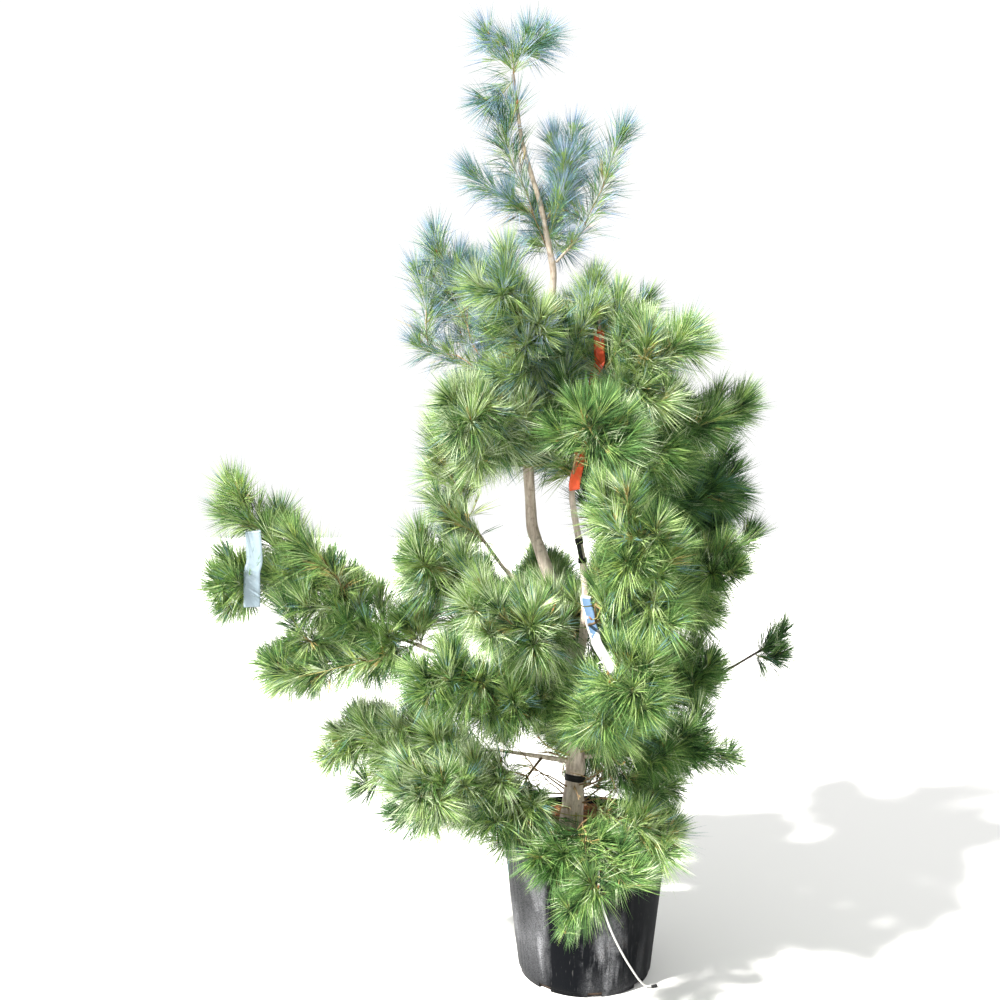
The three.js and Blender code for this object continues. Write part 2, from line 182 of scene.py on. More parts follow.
def tube_of(path, radii, sides, relief=None):
    """Rings round a path, closed at both ends. relief(ring, place) adds to the radius."""
    path = np.asarray(path, float)
    count = len(path)
    ahead = unit(np.gradient(path, axis=0))
    across = sides_of(ahead[:1])[0][0]
    points = []
    for ring in range(count):
        across = across - ahead[ring] * float(across @ ahead[ring])
        across = across / np.linalg.norm(across)
        other = np.cross(ahead[ring], across)
        for side in range(sides):
            angle = 2.0 * math.pi * side / sides
            out = across * math.cos(angle) + other * math.sin(angle)
            radius = radii[ring]
            if relief:
                radius += relief(ring, path[ring] + out * radius)
            points.append(path[ring] + out * radius)
    faces = []
    for ring in range(count - 1):
        low = ring * sides
        for side in range(sides):
            after = (side + 1) % sides
            faces.append((low + side, low + after, low + sides + after, low + sides + side))
    faces.append(tuple(reversed(range(sides))))
    faces.append(tuple(range((count - 1) * sides, count * sides)))
    return np.array(points), faces


# ---------------------------------------------------------------- drip tube
# The route of the drip tube, as the CAD has it: from the root ball over the lip to the ground.
DRIP_ROUTE = [
    (0.0140, -0.1950, 0.3614),
    (0.0140, -0.1950, 0.3660),
    (0.0140, -0.1979, 0.3750),
    (0.0143, -0.2055, 0.3819),
    (0.0147, -0.2150, 0.3842),
    (0.0150, -0.2245, 0.3819),
    (0.0154, -0.2321, 0.3750),
    (0.0158, -0.2350, 0.3640),
    (0.0160, -0.2320, 0.3450),
    (0.0180, -0.2190, 0.3050),
    (0.0250, -0.2070, 0.2650),
    (0.0380, -0.1985, 0.2210),
    (0.0570, -0.1870, 0.1700),
    (0.0830, -0.1700, 0.1130),
    (0.1100, -0.1490, 0.0610),
    (0.1300, -0.1340, 0.0270),
    (0.1450, -0.1260, 0.0100),
    (0.1600, -0.1210, 0.0043),
]
DRIP_WIDTH = 0.005
ROUTE_PIECES = 8


def smooth_route(points, pieces):
    """A centripetal Catmull-Rom curve through the points, with its ends carried straight on."""
    points = [np.array(point, float) for point in points]
    points = [2 * points[0] - points[1]] + points + [2 * points[-1] - points[-2]]
    out = []
    for start in range(1, len(points) - 2):
        before, here, there, after = points[start - 1 : start + 3]
        gap_before, gap, gap_after = (
            math.sqrt(float(np.linalg.norm(b - a)))
            for a, b in ((before, here), (here, there), (there, after))
        )
        leave = (here - before) / gap_before - (there - before) / (gap_before + gap)
        leave = (leave + (there - here) / gap) * gap
        arrive = (there - here) / gap - (after - here) / (gap + gap_after)
        arrive = (arrive + (after - there) / gap_after) * gap
        for t in np.arange(pieces) / pieces:
            out.append(
                here * (2 * t**3 - 3 * t**2 + 1)
                + leave * (t**3 - 2 * t**2 + t)
                + there * (3 * t**2 - 2 * t**3)
                + arrive * (t**3 - t**2)
            )
    out.append(points[-2])
    return np.array(out)


def drip_tube():
    """The thin white tube that hangs over the lip and lies down on the ground."""
    path = smooth_route(DRIP_ROUTE, ROUTE_PIECES)
    curve = bpy.data.curves.new("drip_tube_run", "CURVE")
    curve.dimensions = "3D"
    spline = curve.splines.new("POLY")
    spline.points.add(len(path) - 1)
    for point, place in zip(spline.points, path):
        point.co = (*place, 1.0)
    curve.bevel_depth = DRIP_WIDTH / 2
    curve.bevel_resolution = 4
    curve.use_fill_caps = True
    made = bpy.data.objects.new("drip_tube_run", curve)
    scene.collection.objects.link(made)
    return made


# ---------------------------------------------------------------- materials
def plain(name, colour, roughness, specular=0.5):
    """One plain colour, for what is dealt out by spray."""
    material = bpy.data.materials.new(name)
    material.use_nodes = True
    shader = material.node_tree.nodes["Principled BSDF"]
    shader.inputs["Base Color"].default_value = colour
    shader.inputs["Roughness"].default_value = roughness
    shader.inputs["Specular IOR Level"].default_value = specular
    return material


class Graph:
    """A material's node tree, built up node by node."""

    def __init__(self, name):
        self.material = bpy.data.materials.new(name)
        self.material.use_nodes = True
        self.tree = self.material.node_tree
        self.shader = self.tree.nodes["Principled BSDF"]
        self.place = self.node("ShaderNodeTexCoord").outputs["Object"]

    def node(self, kind, **values):
        """A new node; a value is one of its settings, or else an input, with _ for a space in its name."""
        made = self.tree.nodes.new(kind)
        for key, value in values.items():
            if hasattr(made, key):
                setattr(made, key, value)
            else:
                made.inputs[key.replace("_", " ")].default_value = value
        return made

    def link(self, output, socket):
        """Links an output to an input."""
        self.tree.links.new(output, socket)

    def feed(self, socket, value):
        """Gives an input a plain value, or links it to an output."""
        if isinstance(value, (tuple, float)):
            socket.default_value = value
        else:
            self.link(value, socket)

    def axis(self, letter):
        """The place along one axis, X, Y or Z."""
        made = self.node("ShaderNodeSeparateXYZ")
        self.link(self.place, made.inputs[0])
        return made.outputs[letter]

    def scaled(self, scale, turn=(0.0, 0.0, 0.0)):
        """The place, stretched and turned."""
        made = self.node("ShaderNodeMapping", Scale=scale, Rotation=turn)
        self.link(self.place, made.inputs["Vector"])
        return made.outputs["Vector"]

    def noise(self, scale, detail=4.0, rough=0.55, place=None):
        """Noise from nought to one."""
        made = self.node("ShaderNodeTexNoise", Scale=scale, Detail=detail, Roughness=rough)
        self.link(place or self.place, made.inputs["Vector"])
        return made.outputs["Fac"]

    def range(self, value, low, high, to_low=0.0, to_high=1.0):
        """A value between low and high, brought between to_low and to_high."""
        made = self.node("ShaderNodeMapRange", From_Min=low, From_Max=high, To_Min=to_low, To_Max=to_high)
        self.link(value, made.inputs["Value"])
        return made.outputs["Result"]

    def mix(self, share, first, second):
        """A colour between first and second; each is a colour or a node's output."""
        made = self.node("ShaderNodeMix", data_type="RGBA")
        for socket, value in ((0, share), (6, first), (7, second)):
            self.feed(made.inputs[socket], value)
        return made.outputs[2]

    def maths(self, operation, first, second=0.0):
        """A sum or a product; each side is a number or a node's output."""
        made = self.node("ShaderNodeMath", operation=operation)
        for socket, value in ((0, first), (1, second)):
            self.feed(made.inputs[socket], value)
        return made.outputs[0]

    def bump(self, height, depth, strength=1.0):
        """Fine relief, by a height from nought to one."""
        made = self.node("ShaderNodeBump", Strength=strength, Distance=depth)
        self.link(height, made.inputs["Height"])
        self.link(made.outputs["Normal"], self.shader.inputs["Normal"])

    def colour(self, output):
        """Sets the surface's colour."""
        self.link(output, self.shader.inputs["Base Color"])

    def roughness(self, output):
        """Sets the surface's roughness."""
        self.link(output, self.shader.inputs["Roughness"])


def bark_material():
    """Smooth young bark: grey-brown and fissured at the foot, olive and tan higher up."""
    g = Graph("bark")
    up = g.range(g.axis("Z"), 0.9, 2.1)
    fine = g.noise(90.0, 6.0, 0.62)
    long = g.noise(1.0, 5.0, 0.6, g.scaled((120.0, 120.0, 22.0)))
    rings = g.noise(1.0, 3.0, 0.5, g.scaled((26.0, 26.0, 260.0)))
    # The old bark's pale colours are partly painted light: made paler than the bark is, to stand in for
    # sunlight on the trunk's foot.
    old = g.mix(g.range(long, 0.36, 0.66), srgb(182, 164, 152), srgb(240, 226, 214))
    young = g.mix(g.range(fine, 0.35, 0.65), srgb(116, 106, 90), srgb(154, 143, 126))
    base = g.mix(up, old, young)
    base = g.mix(g.range(rings, 0.62, 0.72, 0.0, 0.55), base, srgb(186, 174, 150))
    g.colour(g.mix(g.range(fine, 0.28, 0.44, 0.6, 0.0), base, srgb(92, 76, 64)))
    g.roughness(g.range(fine, 0.3, 0.7, 0.72, 0.9))
    g.bump(g.maths("ADD", long, g.maths("MULTIPLY", fine, 0.5)), 0.0012, 0.8)
    return g.material


# Each tone's colour and roughness. The pale tone is partly pale needles and partly a painted highlight, the
# sun's glint along lit needles.
NEEDLE_TONES = {
    "silver": (srgb(153, 170, 191), 0.48),
    "blue": (srgb(114, 142, 172), 0.48),
    "blue_green": (srgb(102, 138, 138), 0.50),
    "teal": (srgb(67, 108, 95), 0.52),
    "pale": (srgb(189, 204, 166), 0.46),
    "fresh": (srgb(171, 192, 131), 0.48),
    "leaf": (srgb(138, 167, 94), 0.50),
    "green": (srgb(95, 134, 70), 0.50),
    "deep": (srgb(58, 94, 46), 0.55),
    "shade": (srgb(29, 55, 34), 0.60),
    "lime": (srgb(168, 187, 96), 0.50),
    "straw": (srgb(184, 164, 104), 0.70),
    "rust": (srgb(110, 72, 40), 0.80),
}
NEEDLE_GLOSS = 0.38
NEEDLE_MATERIALS = [
    plain("needle_" + tone, colour, roughness, NEEDLE_GLOSS)
    for tone, (colour, roughness) in NEEDLE_TONES.items()
]
TONE = {tone: index for index, tone in enumerate(NEEDLE_TONES)}
BARK = bark_material()
OLD, TAN, YOUNG, BUD_SCALE = range(4)
TWIG_MATERIALS = [
    plain("twig_old", srgb(112, 94, 72), 0.85),
    plain("twig_tan", srgb(150, 124, 88), 0.8),
    plain("twig_young", srgb(158, 152, 92), 0.65),
    plain("twig_bud", srgb(150, 106, 62), 0.6),
]

# ---------------------------------------------------------------- the masses, by region
TOP_MASSES = ["top", "upper_left", "upper_right", "upper_inner", "upper_back"]
REGIONS = {
    "needles_top": TOP_MASSES,
    "needles_crown": ["crown_front", "crown_left", "crown_right", "crown_back", "stem_top", "left_tufts"],
    "needles_shoulder_left": ["shoulder_left", "left_column", "shoulder_front"],
    "needles_shoulder_right": ["shoulder_right", "shoulder_rear", "shoulder_back"],
    "needles_middle_front": ["mid_front", "mid_front_left", "mid_left"],
    "needles_middle_back": ["mid_right", "mid_rear", "mid_back"],
    "needles_long_bough": ["long_left", "long_tip", "long_fork", "long_droop"],
    "needles_lower_front": ["lower_left", "lower_front", "lower_right"],
    "needles_lower_back": ["lower_back", "base_back", "far_right"],
    "needles_base": ["base_left", "skirt_left", "base_right"],
    "needles_low": ["low_front", "low_left", "low_right"],
}
MASSES = [mass for masses in REGIONS.values() for mass in masses]
REGION_OF = {mass: index for index, masses in enumerate(REGIONS.values()) for mass in masses}
STEMS = ["trunk", "second_stem"]
BOUGHS = sorted(name for name in NODES if name.startswith("bough_") and name != "bough_label")


def arrays_of(name):
    """A CAD node's points and triangles."""
    mesh = NODES[name].data
    points = np.empty(len(mesh.vertices) * 3, np.float32)
    mesh.vertices.foreach_get("co", points)
    mesh.calc_loop_triangles()
    faces = np.empty(len(mesh.loop_triangles) * 3, np.int32)
    mesh.loop_triangles.foreach_get("vertices", faces)
    return points.reshape(-1, 3).astype(float), faces.reshape(-1, 3)


def searcher(names):
    """One search tree over several CAD nodes."""
    points, faces, total = [], [], 0
    for name in names:
        some, corners = arrays_of(name)
        points.append(some)
        faces.append(corners + total)
        total += len(some)
    points, faces = np.concatenate(points), np.concatenate(faces)
    return BVHTree.FromPolygons(points.tolist(), faces.tolist())


# Any fixed direction that lies along no face.
RAY = Vector((0.3141, 0.1737, 0.9333)).normalized()


def inside(tree, place):
    """Whether a point is inside the closed shapes of a search tree."""
    hit, normal, _, _ = tree.ray_cast(Vector(place), RAY)
    return hit is not None and normal.dot(RAY) > 0.0


# ---------------------------------------------------------------- the limbs' centre lines
LIMB_SLICE = 0.012
STRIP_SLICE = 0.01
# The first and the last slice lie this far inside the limb's ends.
FOOT_INSET, END_INSET = 0.004, 0.002
LEAST_LEAN = 0.3


def centre_line(name, axis, step):
    """The centre and radius of a limb's sections square to an axis, every step along it."""
    points, faces = arrays_of(name)
    axis = np.array(axis, float) / np.linalg.norm(axis)
    height = points @ axis
    low, high = height.min(), height.max()
    count = max(int((high - low) / step), 4)
    centres, radii = [], []
    for at in np.linspace(low + FOOT_INSET, high - END_INSET, count):
        ring = []
        for a, b in ((0, 1), (1, 2), (2, 0)):
            start, end = height[faces[:, a]] - at, height[faces[:, b]] - at
            crossed = start * end < 0
            share = (start[crossed] / (start - end)[crossed])[:, None]
            first, second = points[faces[crossed, a]], points[faces[crossed, b]]
            ring.append(first + (second - first) * share)
        ring = np.concatenate(ring)
        if len(ring) < 6:
            continue
        centre = ring.mean(0)
        centres.append(centre)
        radii.append(np.linalg.norm(ring - centre, axis=1).mean())
    centres, radii = np.array(centres), np.array(radii)
    # A slice across a limb that leans is a longer ring, so its radius is brought back.
    lean = np.abs(unit(np.gradient(centres, axis=0)) @ axis)
    return centres, radii * 2.0 / (1.0 + 1.0 / np.maximum(lean, LEAST_LEAN))


def long_axis(name):
    """The direction in which a node is longest, pointing away from the stems."""
    points, _ = arrays_of(name)
    centred = points - points.mean(0)
    axis = np.linalg.svd(centred, full_matrices=False)[2][0]
    ends = points[np.argmax(centred @ axis)], points[np.argmin(centred @ axis)]
    reach = [math.hypot(end[0] + 0.05, end[1]) for end in ends]
    return axis if reach[0] > reach[1] else -axis


# These boughs rise too steeply for their longest way to be the one to slice across.
STEEP_BOUGHS = ["bough_upper_right", "bough_crown_right", "bough_left_tufts", "bough_left_column"]
LIMBS = {
    name: centre_line(name, long_axis(name) if name not in STEMS + STEEP_BOUGHS else UP, LIMB_SLICE)
    for name in STEMS + BOUGHS
}

# ---------------------------------------------------------------- where the shoots may grow
# Everything random in this script comes from this seed, drawn in the order in which it is written.
SEED = 41
SKIN_STEP = 0.017
SKIN_CLEAR = 0.006
GRAIN = 0.0155
CELL = 0.026
BUD_DEPTH = 0.044
DEEP_SHARE = 0.72
DEEPEST_BUD = 2.6 * BUD_DEPTH
SHALLOWEST_BUD = 0.02
SPACING = 0.047
random = np.random.default_rng(SEED)

everything = searcher(["foliage_" + mass for mass in MASSES] + STEMS + BOUGHS + ["pot", "root_ball"])


def skin_points():
    """Points spread over the outside of the whole crown, without the faces where masses meet."""
    out = []
    for mass in MASSES:
        points, faces = arrays_of("foliage_" + mass)
        a, b, c = (points[faces[:, corner]] for corner in range(3))
        cross = np.cross(b - a, c - a)
        area = np.linalg.norm(cross, axis=1) / 2
        normal = unit(cross)
        count = int(area.sum() / SKIN_STEP**2)
        which = random.choice(len(faces), count, p=area / area.sum())
        first, second = random.random((2, count, 1))
        over = first + second > 1
        first, second = np.where(over, 1 - first, first), np.where(over, 1 - second, second)
        place = a[which] + (b - a)[which] * first + (c - a)[which] * second
        clear = place + normal[which] * SKIN_CLEAR
        keep = [not inside(everything, point) for point in clear]
        out.append(place[keep])
    return np.concatenate(out)


def point_tree(points):
    """A search tree of points."""
    tree = KDTree(len(points))
    for index, point in enumerate(points):
        tree.insert(point, index)
    tree.balance()
    return tree


skin = skin_points()
skin_tree = point_tree(skin)


def depth_at(place):
    """How far a place is from the crown's skin."""
    return skin_tree.find(place)[2]


def grains():
    """Points inside the masses, with the mass and the depth of each."""
    places, masses = [], []
    for index, mass in enumerate(MASSES):
        tree = searcher(["foliage_" + mass])
        low, high = (np.array(corner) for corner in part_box("foliage_" + mass))
        count = int(np.prod(high - low) / GRAIN**3)
        some = low + (high - low) * random.random((count, 3))
        some = some[[inside(tree, point) for point in some]]
        places.append(some)
        masses.append(np.full(len(some), index))
    places = np.concatenate(places)
    depth = np.array([depth_at(place) for place in places])
    return places, np.concatenate(masses), depth


def deepest_near(places, depth):
    """For each point the greatest depth within a cell or so of it."""
    low = places.min(0) - 2 * CELL
    cell = ((places - low) / CELL).astype(int)
    grid = np.zeros(cell.max(0) + 3)
    np.maximum.at(grid, tuple(cell.T), depth)
    wide = grid.copy()
    for x in (-1, 0, 1):
        for y in (-1, 0, 1):
            for z in (-1, 0, 1):
                wide = np.maximum(wide, np.roll(grid, (x, y, z), (0, 1, 2)))
    return wide[tuple(cell.T)]


def bud_places():
    """Where shoots are to reach: evenly spread, some way inside the skin, or in the middle of thin masses."""
    places, masses, depth = grains()
    deepest = deepest_near(places, depth)
    fit = depth >= DEEP_SHARE * np.minimum(deepest, BUD_DEPTH)
    fit &= (depth < DEEPEST_BUD) & (depth > SHALLOWEST_BUD)
    places, masses, depth = places[fit], masses[fit], depth[fit]
    order = np.argsort(np.abs(depth - BUD_DEPTH * 1.05) + 0.012 * random.random(len(depth)))
    kept = np.empty((0, 3))
    chosen = []
    for index in order:
        if len(kept) and ((kept - places[index]) ** 2).sum(1).min() < SPACING**2:
            continue
        kept = np.vstack([kept, places[index]])
        chosen.append(index)
    return kept, masses[chosen]


# Further places that shoots reach, mostly at the crown's edges.
STRAY_BUDS = [
    (0.142, 0.05, 1.715), (0.430, 0.10, 1.115), (-0.378, 0.10, 1.215), (-0.425, -0.05, 1.100),
    (-0.748, -0.12, 0.975), (-0.760, -0.15, 0.835), (-0.536, -0.05, 0.810), (-0.413, 0.00, 0.915),
    (0.315, 0.05, 0.930), (-0.495, -0.10, 0.560), (-0.372, -0.10, 0.465), (-0.300, -0.12, 0.450),
    (0.190, -0.14, 0.400), (-0.205, -0.18, 0.410), (-0.132, 0.00, 2.355), (-0.378, 0.00, 1.865),
    (-0.405, 0.00, 1.720), (-0.405, 0.00, 1.640), (0.395, 0.05, 1.450), (0.345, -0.10, 0.590),
    (0.517, 0.20, 0.815), (0.548, 0.21, 0.835), (0.500, 0.19, 0.775), (0.535, 0.17, 0.790),
    (-0.885, -0.10, 1.085), (-0.905, -0.10, 1.020), (-0.865, -0.13, 1.040), (-0.350, 0.00, 1.190),
    (-0.300, 0.02, 1.150), (0.015, 0.13, 1.190), (0.005, 0.15, 1.270), (-0.135, 0.05, 1.870),
    (-0.045, -0.03, 1.865), (-0.285, 0.00, 2.030), (-0.467, -0.05, 0.915), (-0.435, -0.06, 0.950),
    (-0.483, -0.08, 0.850), (-0.590, -0.12, 0.830), (-0.700, -0.12, 0.900), (0.075, 0.06, 0.475),
    (0.140, 0.06, 0.465), (-0.208, -0.06, 0.617), (-0.192, 0.00, 2.335), (-0.425, 0.00, 1.790),
    (-0.725, -0.11, 1.150), (-0.675, -0.11, 1.100), (-0.620, -0.10, 1.045), (-0.700, -0.13, 0.990),
    (-0.640, -0.10, 0.595), (-0.550, -0.12, 0.530), (-0.465, -0.14, 0.455),
]
goals, goal_mass = bud_places()
first_stray = len(goals)
even_tree = point_tree(goals)
stray_mass = [goal_mass[even_tree.find(bud)[1]] for bud in STRAY_BUDS]
goal_mass = np.concatenate([goal_mass, stray_mass])
goals = np.vstack([goals, STRAY_BUDS])

# ---------------------------------------------------------------- the branching rule
# What a link costs, beside its length: its bend, and the length already grown behind it.
TURN_COST = 0.75
STATION_TURN_COST = 0.9
PATH_COST = 0.38
SHORTEST_LINK = 0.012
# A link that would leave the masses is put off, by the share of it that lies outside.
LINK_TRIES = np.linspace(0.15, 0.85, 6)
MOST_OUTSIDE = 0.17
OUTSIDE_COST = 0.12
# A grown link carries on a little in the way of the one behind it, and turns up.
CARRY_ON = 0.35
TURN_UP = 0.12
# The shoots at the tips: how much they carry on, lean outwards, turn up and vary.
STEP_SHARE = 0.5
COMB = 0.22
RISE = 1.4
COMB_SWAY = 0.4
COMB_CENTRE = np.array([-0.05, 0.06, 0.0])

# Shoots leave the stems only in whorls, one for each year's growth.
WHORLS = {
    "trunk": (0.455, 0.545, 0.70, 0.90, 1.35, 1.53, 1.818, 2.268),
    "second_stem": (0.89, 1.28, 1.42, 1.61, 1.694),
}
WHORL_HEIGHT = 0.018


def bears_shoots(name, centre):
    """Whether a limb bears shoots here: boughs do all along, stems only at their whorls."""
    if name not in WHORLS:
        return True
    return min(abs(centre[2] - height) for height in WHORLS[name]) < WHORL_HEIGHT


class Tree:
    """Nodes joined to the nearest branch, from the limbs outwards."""

    def __init__(self):
        self.place, self.ahead, self.parent, self.path, self.limb = [], [], [], [], []
        self.goal = {}
        for limb, (name, (centres, _)) in enumerate(LIMBS.items()):
            ahead = unit(np.gradient(centres, axis=0))
            for index in range(len(centres)):
                if not bears_shoots(name, centres[index]):
                    continue
                self.place.append(centres[index])
                self.ahead.append(ahead[index])
                self.parent.append(-1)
                self.path.append(0.0)
                self.limb.append((limb, index))
        self.stations = len(self.place)

    def price(self, node, places):
        """What it costs to join each place to this node."""
        step = places - self.place[node]
        far = np.linalg.norm(step, axis=1)
        bend = 1.0 - (step @ self.ahead[node]) / np.maximum(far, 1e-6)
        turn = STATION_TURN_COST if node < self.stations else TURN_COST
        cost = far * (1.0 + turn * bend) + PATH_COST * self.path[node]
        return np.where(far < SHORTEST_LINK, np.inf, cost)

    def grow(self, goals):
        """Joins the goals one after another, the cheapest first."""
        count = len(goals)
        best = np.full(count, np.inf)
        source = np.zeros(count, int)
        waiting = np.ones(count, bool)
        doubted = np.zeros(count, bool)

        def offer(node):
            """Lets a node bid for the goals that are cheaper from it."""
            cost = self.price(node, goals)
            better = cost < best
            best[better] = cost[better]
            source[better] = node
            doubted[better] = False

        for node in range(self.stations):
            offer(node)
        while waiting.any():
            index = int(np.argmin(np.where(waiting, best, np.inf)))
            node = int(source[index])
            if not doubted[index] and index < first_stray:
                doubted[index] = True
                line = self.place[node] + (goals[index] - self.place[node]) * LINK_TRIES[:, None]
                out = sum(not inside(everything, point) for point in line) / len(line)
                if out > MOST_OUTSIDE:
                    best[index] += out * OUTSIDE_COST
                    continue
            waiting[index] = False
            step = goals[index] - self.place[node]
            far = float(np.linalg.norm(step))
            self.place.append(goals[index])
            ahead = step / far + CARRY_ON * self.ahead[node] + TURN_UP * UP
            self.ahead.append(ahead / np.linalg.norm(ahead))
            self.parent.append(node)
            self.path.append(self.path[node] + far)
            self.goal[len(self.place) - 1] = index
            offer(len(self.place) - 1)


tree = Tree()
tree.grow(goals)
place = np.array(tree.place)
parent = np.array(tree.parent)
count = len(place)
# For each node: the length of its link, the tips beyond it, the way to the farthest one, and its next node.
length = np.zeros(count)
grown = np.arange(tree.stations, count)
length[grown] = np.linalg.norm(place[grown] - place[parent[grown]], axis=1)

tips = np.zeros(count)
to_tip = np.zeros(count)
heir = np.full(count, -1)
for node in reversed(grown):
    if tips[node] == 0:
        tips[node] = 1
    tips[parent[node]] += tips[node]
    reach = to_tip[node] + length[node]
    if reach > to_tip[parent[node]]:
        to_tip[parent[node]] = reach
        heir[parent[node]] = node

# The direction of the shoot at each node: through it to its heir, or turned up at a tip.
through = np.array(tree.ahead)
for node in grown:
    step = unit(place[node] - place[parent[node]])
    if heir[node] >= 0:
        through[node] = unit(step + unit(place[heir[node]] - place[node]))
    else:
        outwards = unit(place[node] * LEVEL - COMB_CENTRE)
        sway = random.normal(0.0, COMB_SWAY, 3)
        through[node] = unit(STEP_SHARE * step + COMB * outwards + RISE * UP + sway)


class Shoot:
    """One curved length of wood, from its foot to its end, with what hangs on it."""

    def __init__(self, start, end, leave, arrive, back, mass, thick, thin, tone):
        self.start, self.end = start, end
        self.length = float(np.linalg.norm(end - start))
        self.leave, self.arrive = unit(leave) * self.length, unit(arrive) * self.length
        self.back, self.mass, self.tone = back, mass, tone
        self.thick, self.thin = thick, thin

    def at(self, shares):
        """Places and directions along the shoot."""
        t = np.asarray(shares, float)[:, None]
        points = self.start * (2 * t**3 - 3 * t**2 + 1) + self.leave * (t**3 - 2 * t**2 + t)
        points = points + self.end * (3 * t**2 - 2 * t**3) + self.arrive * (t**3 - t**2)
        ahead = (self.start - self.end) * (6 * t**2 - 6 * t) + self.leave * (3 * t**2 - 4 * t + 1)
        return points, unit(ahead + self.arrive * (3 * t**2 - 2 * t))

    def back_at(self, shares):
        """How far back from its farthest bud each place is."""
        return self.back + (1.0 - np.asarray(shares, float)) * self.length


# Needles are silvery blue-green at the top, and fresh to deep green lower down.
# Each set deals out pairs of tones, for the foot and the point of a needle, with the share of each pair.
TONE_SETS = {
    "top": [
        ("leaf", "silver", 2.6), ("leaf", "blue", 2.8), ("green", "blue_green", 3.0), ("deep", "teal", 2.6),
    ],
    "tufts": [
        ("leaf", "silver", 2.8), ("fresh", "pale", 1.0), ("leaf", "blue_green", 3.2), ("leaf", "blue", 1.1),
        ("deep", "teal", 1.6),
    ],
    "crown": [
        ("leaf", "blue_green", 2.0), ("leaf", "silver", 1.4), ("pale", "pale", 2.4), ("fresh", "leaf", 2.6),
        ("green", "leaf", 1.6), ("shade", "deep", 1.0), ("lime", "fresh", 0.6),
    ],
    "sunlit": [
        ("fresh", "leaf", 2.4), ("pale", "pale", 1.8), ("fresh", "pale", 2.0), ("leaf", "green", 1.4),
        ("lime", "fresh", 1.6), ("deep", "green", 1.4), ("shade", "deep", 1.8), ("straw", "pale", 0.6),
        ("leaf", "blue_green", 1.0),
    ],
    "bright": [
        ("fresh", "leaf", 2.2), ("leaf", "green", 1.6), ("pale", "fresh", 1.7), ("lime", "leaf", 1.4),
        ("deep", "green", 1.6), ("shade", "deep", 2.4), ("straw", "pale", 0.45), ("leaf", "blue_green", 0.7),
    ],
    "middle": [
        ("fresh", "leaf", 1.5), ("leaf", "green", 2.0), ("deep", "green", 2.2), ("shade", "deep", 3.8),
        ("green", "pale", 0.9), ("lime", "leaf", 0.4), ("straw", "leaf", 0.4),
    ],
    "dark": [
        ("deep", "green", 1.8), ("shade", "deep", 4.0), ("leaf", "green", 0.9), ("deep", "teal", 0.8),
        ("green", "pale", 0.3),
    ],
}
# Which set each part gets. Besides the needles' colour, this paints light and shade: the sunlit masses,
# mostly on the left, are dealt lighter pairs for the sun, and the middle and dark masses, mostly on the right
# and at the back, are dealt darker pairs as painted shade.
SET_MASSES = {
    "top": TOP_MASSES,
    "tufts": ["left_tufts"],
    "crown": ["crown_front", "crown_left", "crown_back", "stem_top"],
    "sunlit": [
        "crown_right", "shoulder_left", "left_column", "mid_left", "mid_front_left", "base_left",
        "skirt_left",
    ],
    "middle": ["shoulder_front", "shoulder_right", "mid_right", "lower_right", "base_right", "low_front"],
    "dark": ["far_right", "shoulder_rear", "mid_rear"],
}
SET_OF = {mass: kind for kind, masses in SET_MASSES.items() for mass in masses}
SETS = [SET_OF.get(mass, "bright") for mass in MASSES]


def dealt_tone(mass):
    """A pair of tones for one spray, by where its mass is."""
    pairs = TONE_SETS[SETS[mass]]
    shares = np.array([share for _, _, share in pairs])
    foot, point, _ = pairs[random.choice(len(pairs), p=shares / shares.sum())]
    return TONE[foot], TONE[point]


# A twig's radius grows with the tips that it bears.
TWIG_TIP = 0.0014
TWIG_POWER = 0.42
END_SHARE = 0.8
KEEP_TONE = 0.45
FORK_CARRY = 0.45
shoots = []
tone_of = {}
for node in grown:
    parent_node = parent[node]
    mass = int(goal_mass[tree.goal[node]])
    keeps = parent_node in tone_of and random.random() < KEEP_TONE
    tone_of[node] = tone_of[parent_node] if keeps else dealt_tone(mass)
    step = unit(place[node] - place[parent_node])
    if heir[parent_node] == node and parent_node >= tree.stations:
        leave = through[parent_node]
    elif heir[parent_node] == node:
        leave = step
    else:
        leave = step + FORK_CARRY * through[parent_node]
    thin = tips[heir[node]] ** TWIG_POWER if heir[node] >= 0 else END_SHARE
    shoots.append(
        Shoot(
            place[parent_node],
            place[node],
            leave,
            through[node],
            to_tip[node],
            mass,
            TWIG_TIP * tips[node] ** TWIG_POWER,
            TWIG_TIP * thin,
            tone_of[node],
        )
    )

# Side shoots: along each length older than a season, turned round it by the golden angle.
SIDE_SPACING = 0.030
SIDE_SHARE = {"top": 0.28, "tufts": 0.5, "crown": 0.8}
SIDE_TURN = math.radians(137.5)
SIDE_ANGLES = (42.0, 62.0)
SIDE_LENGTHS = (0.11, 0.095, 0.08, 0.066, 0.052, 0.04)
SIDE_LIFT = 0.2
SIDE_DEPTH = -0.004
SIDE_RISE = 1.2
SIDE_SWAY = 0.35
SEASON = 0.05


def room_at(place):
    """How far a place is inside the crown's skin; below nought outside it."""
    return depth_at(place) * (1.0 if inside(everything, place) else -1.0)


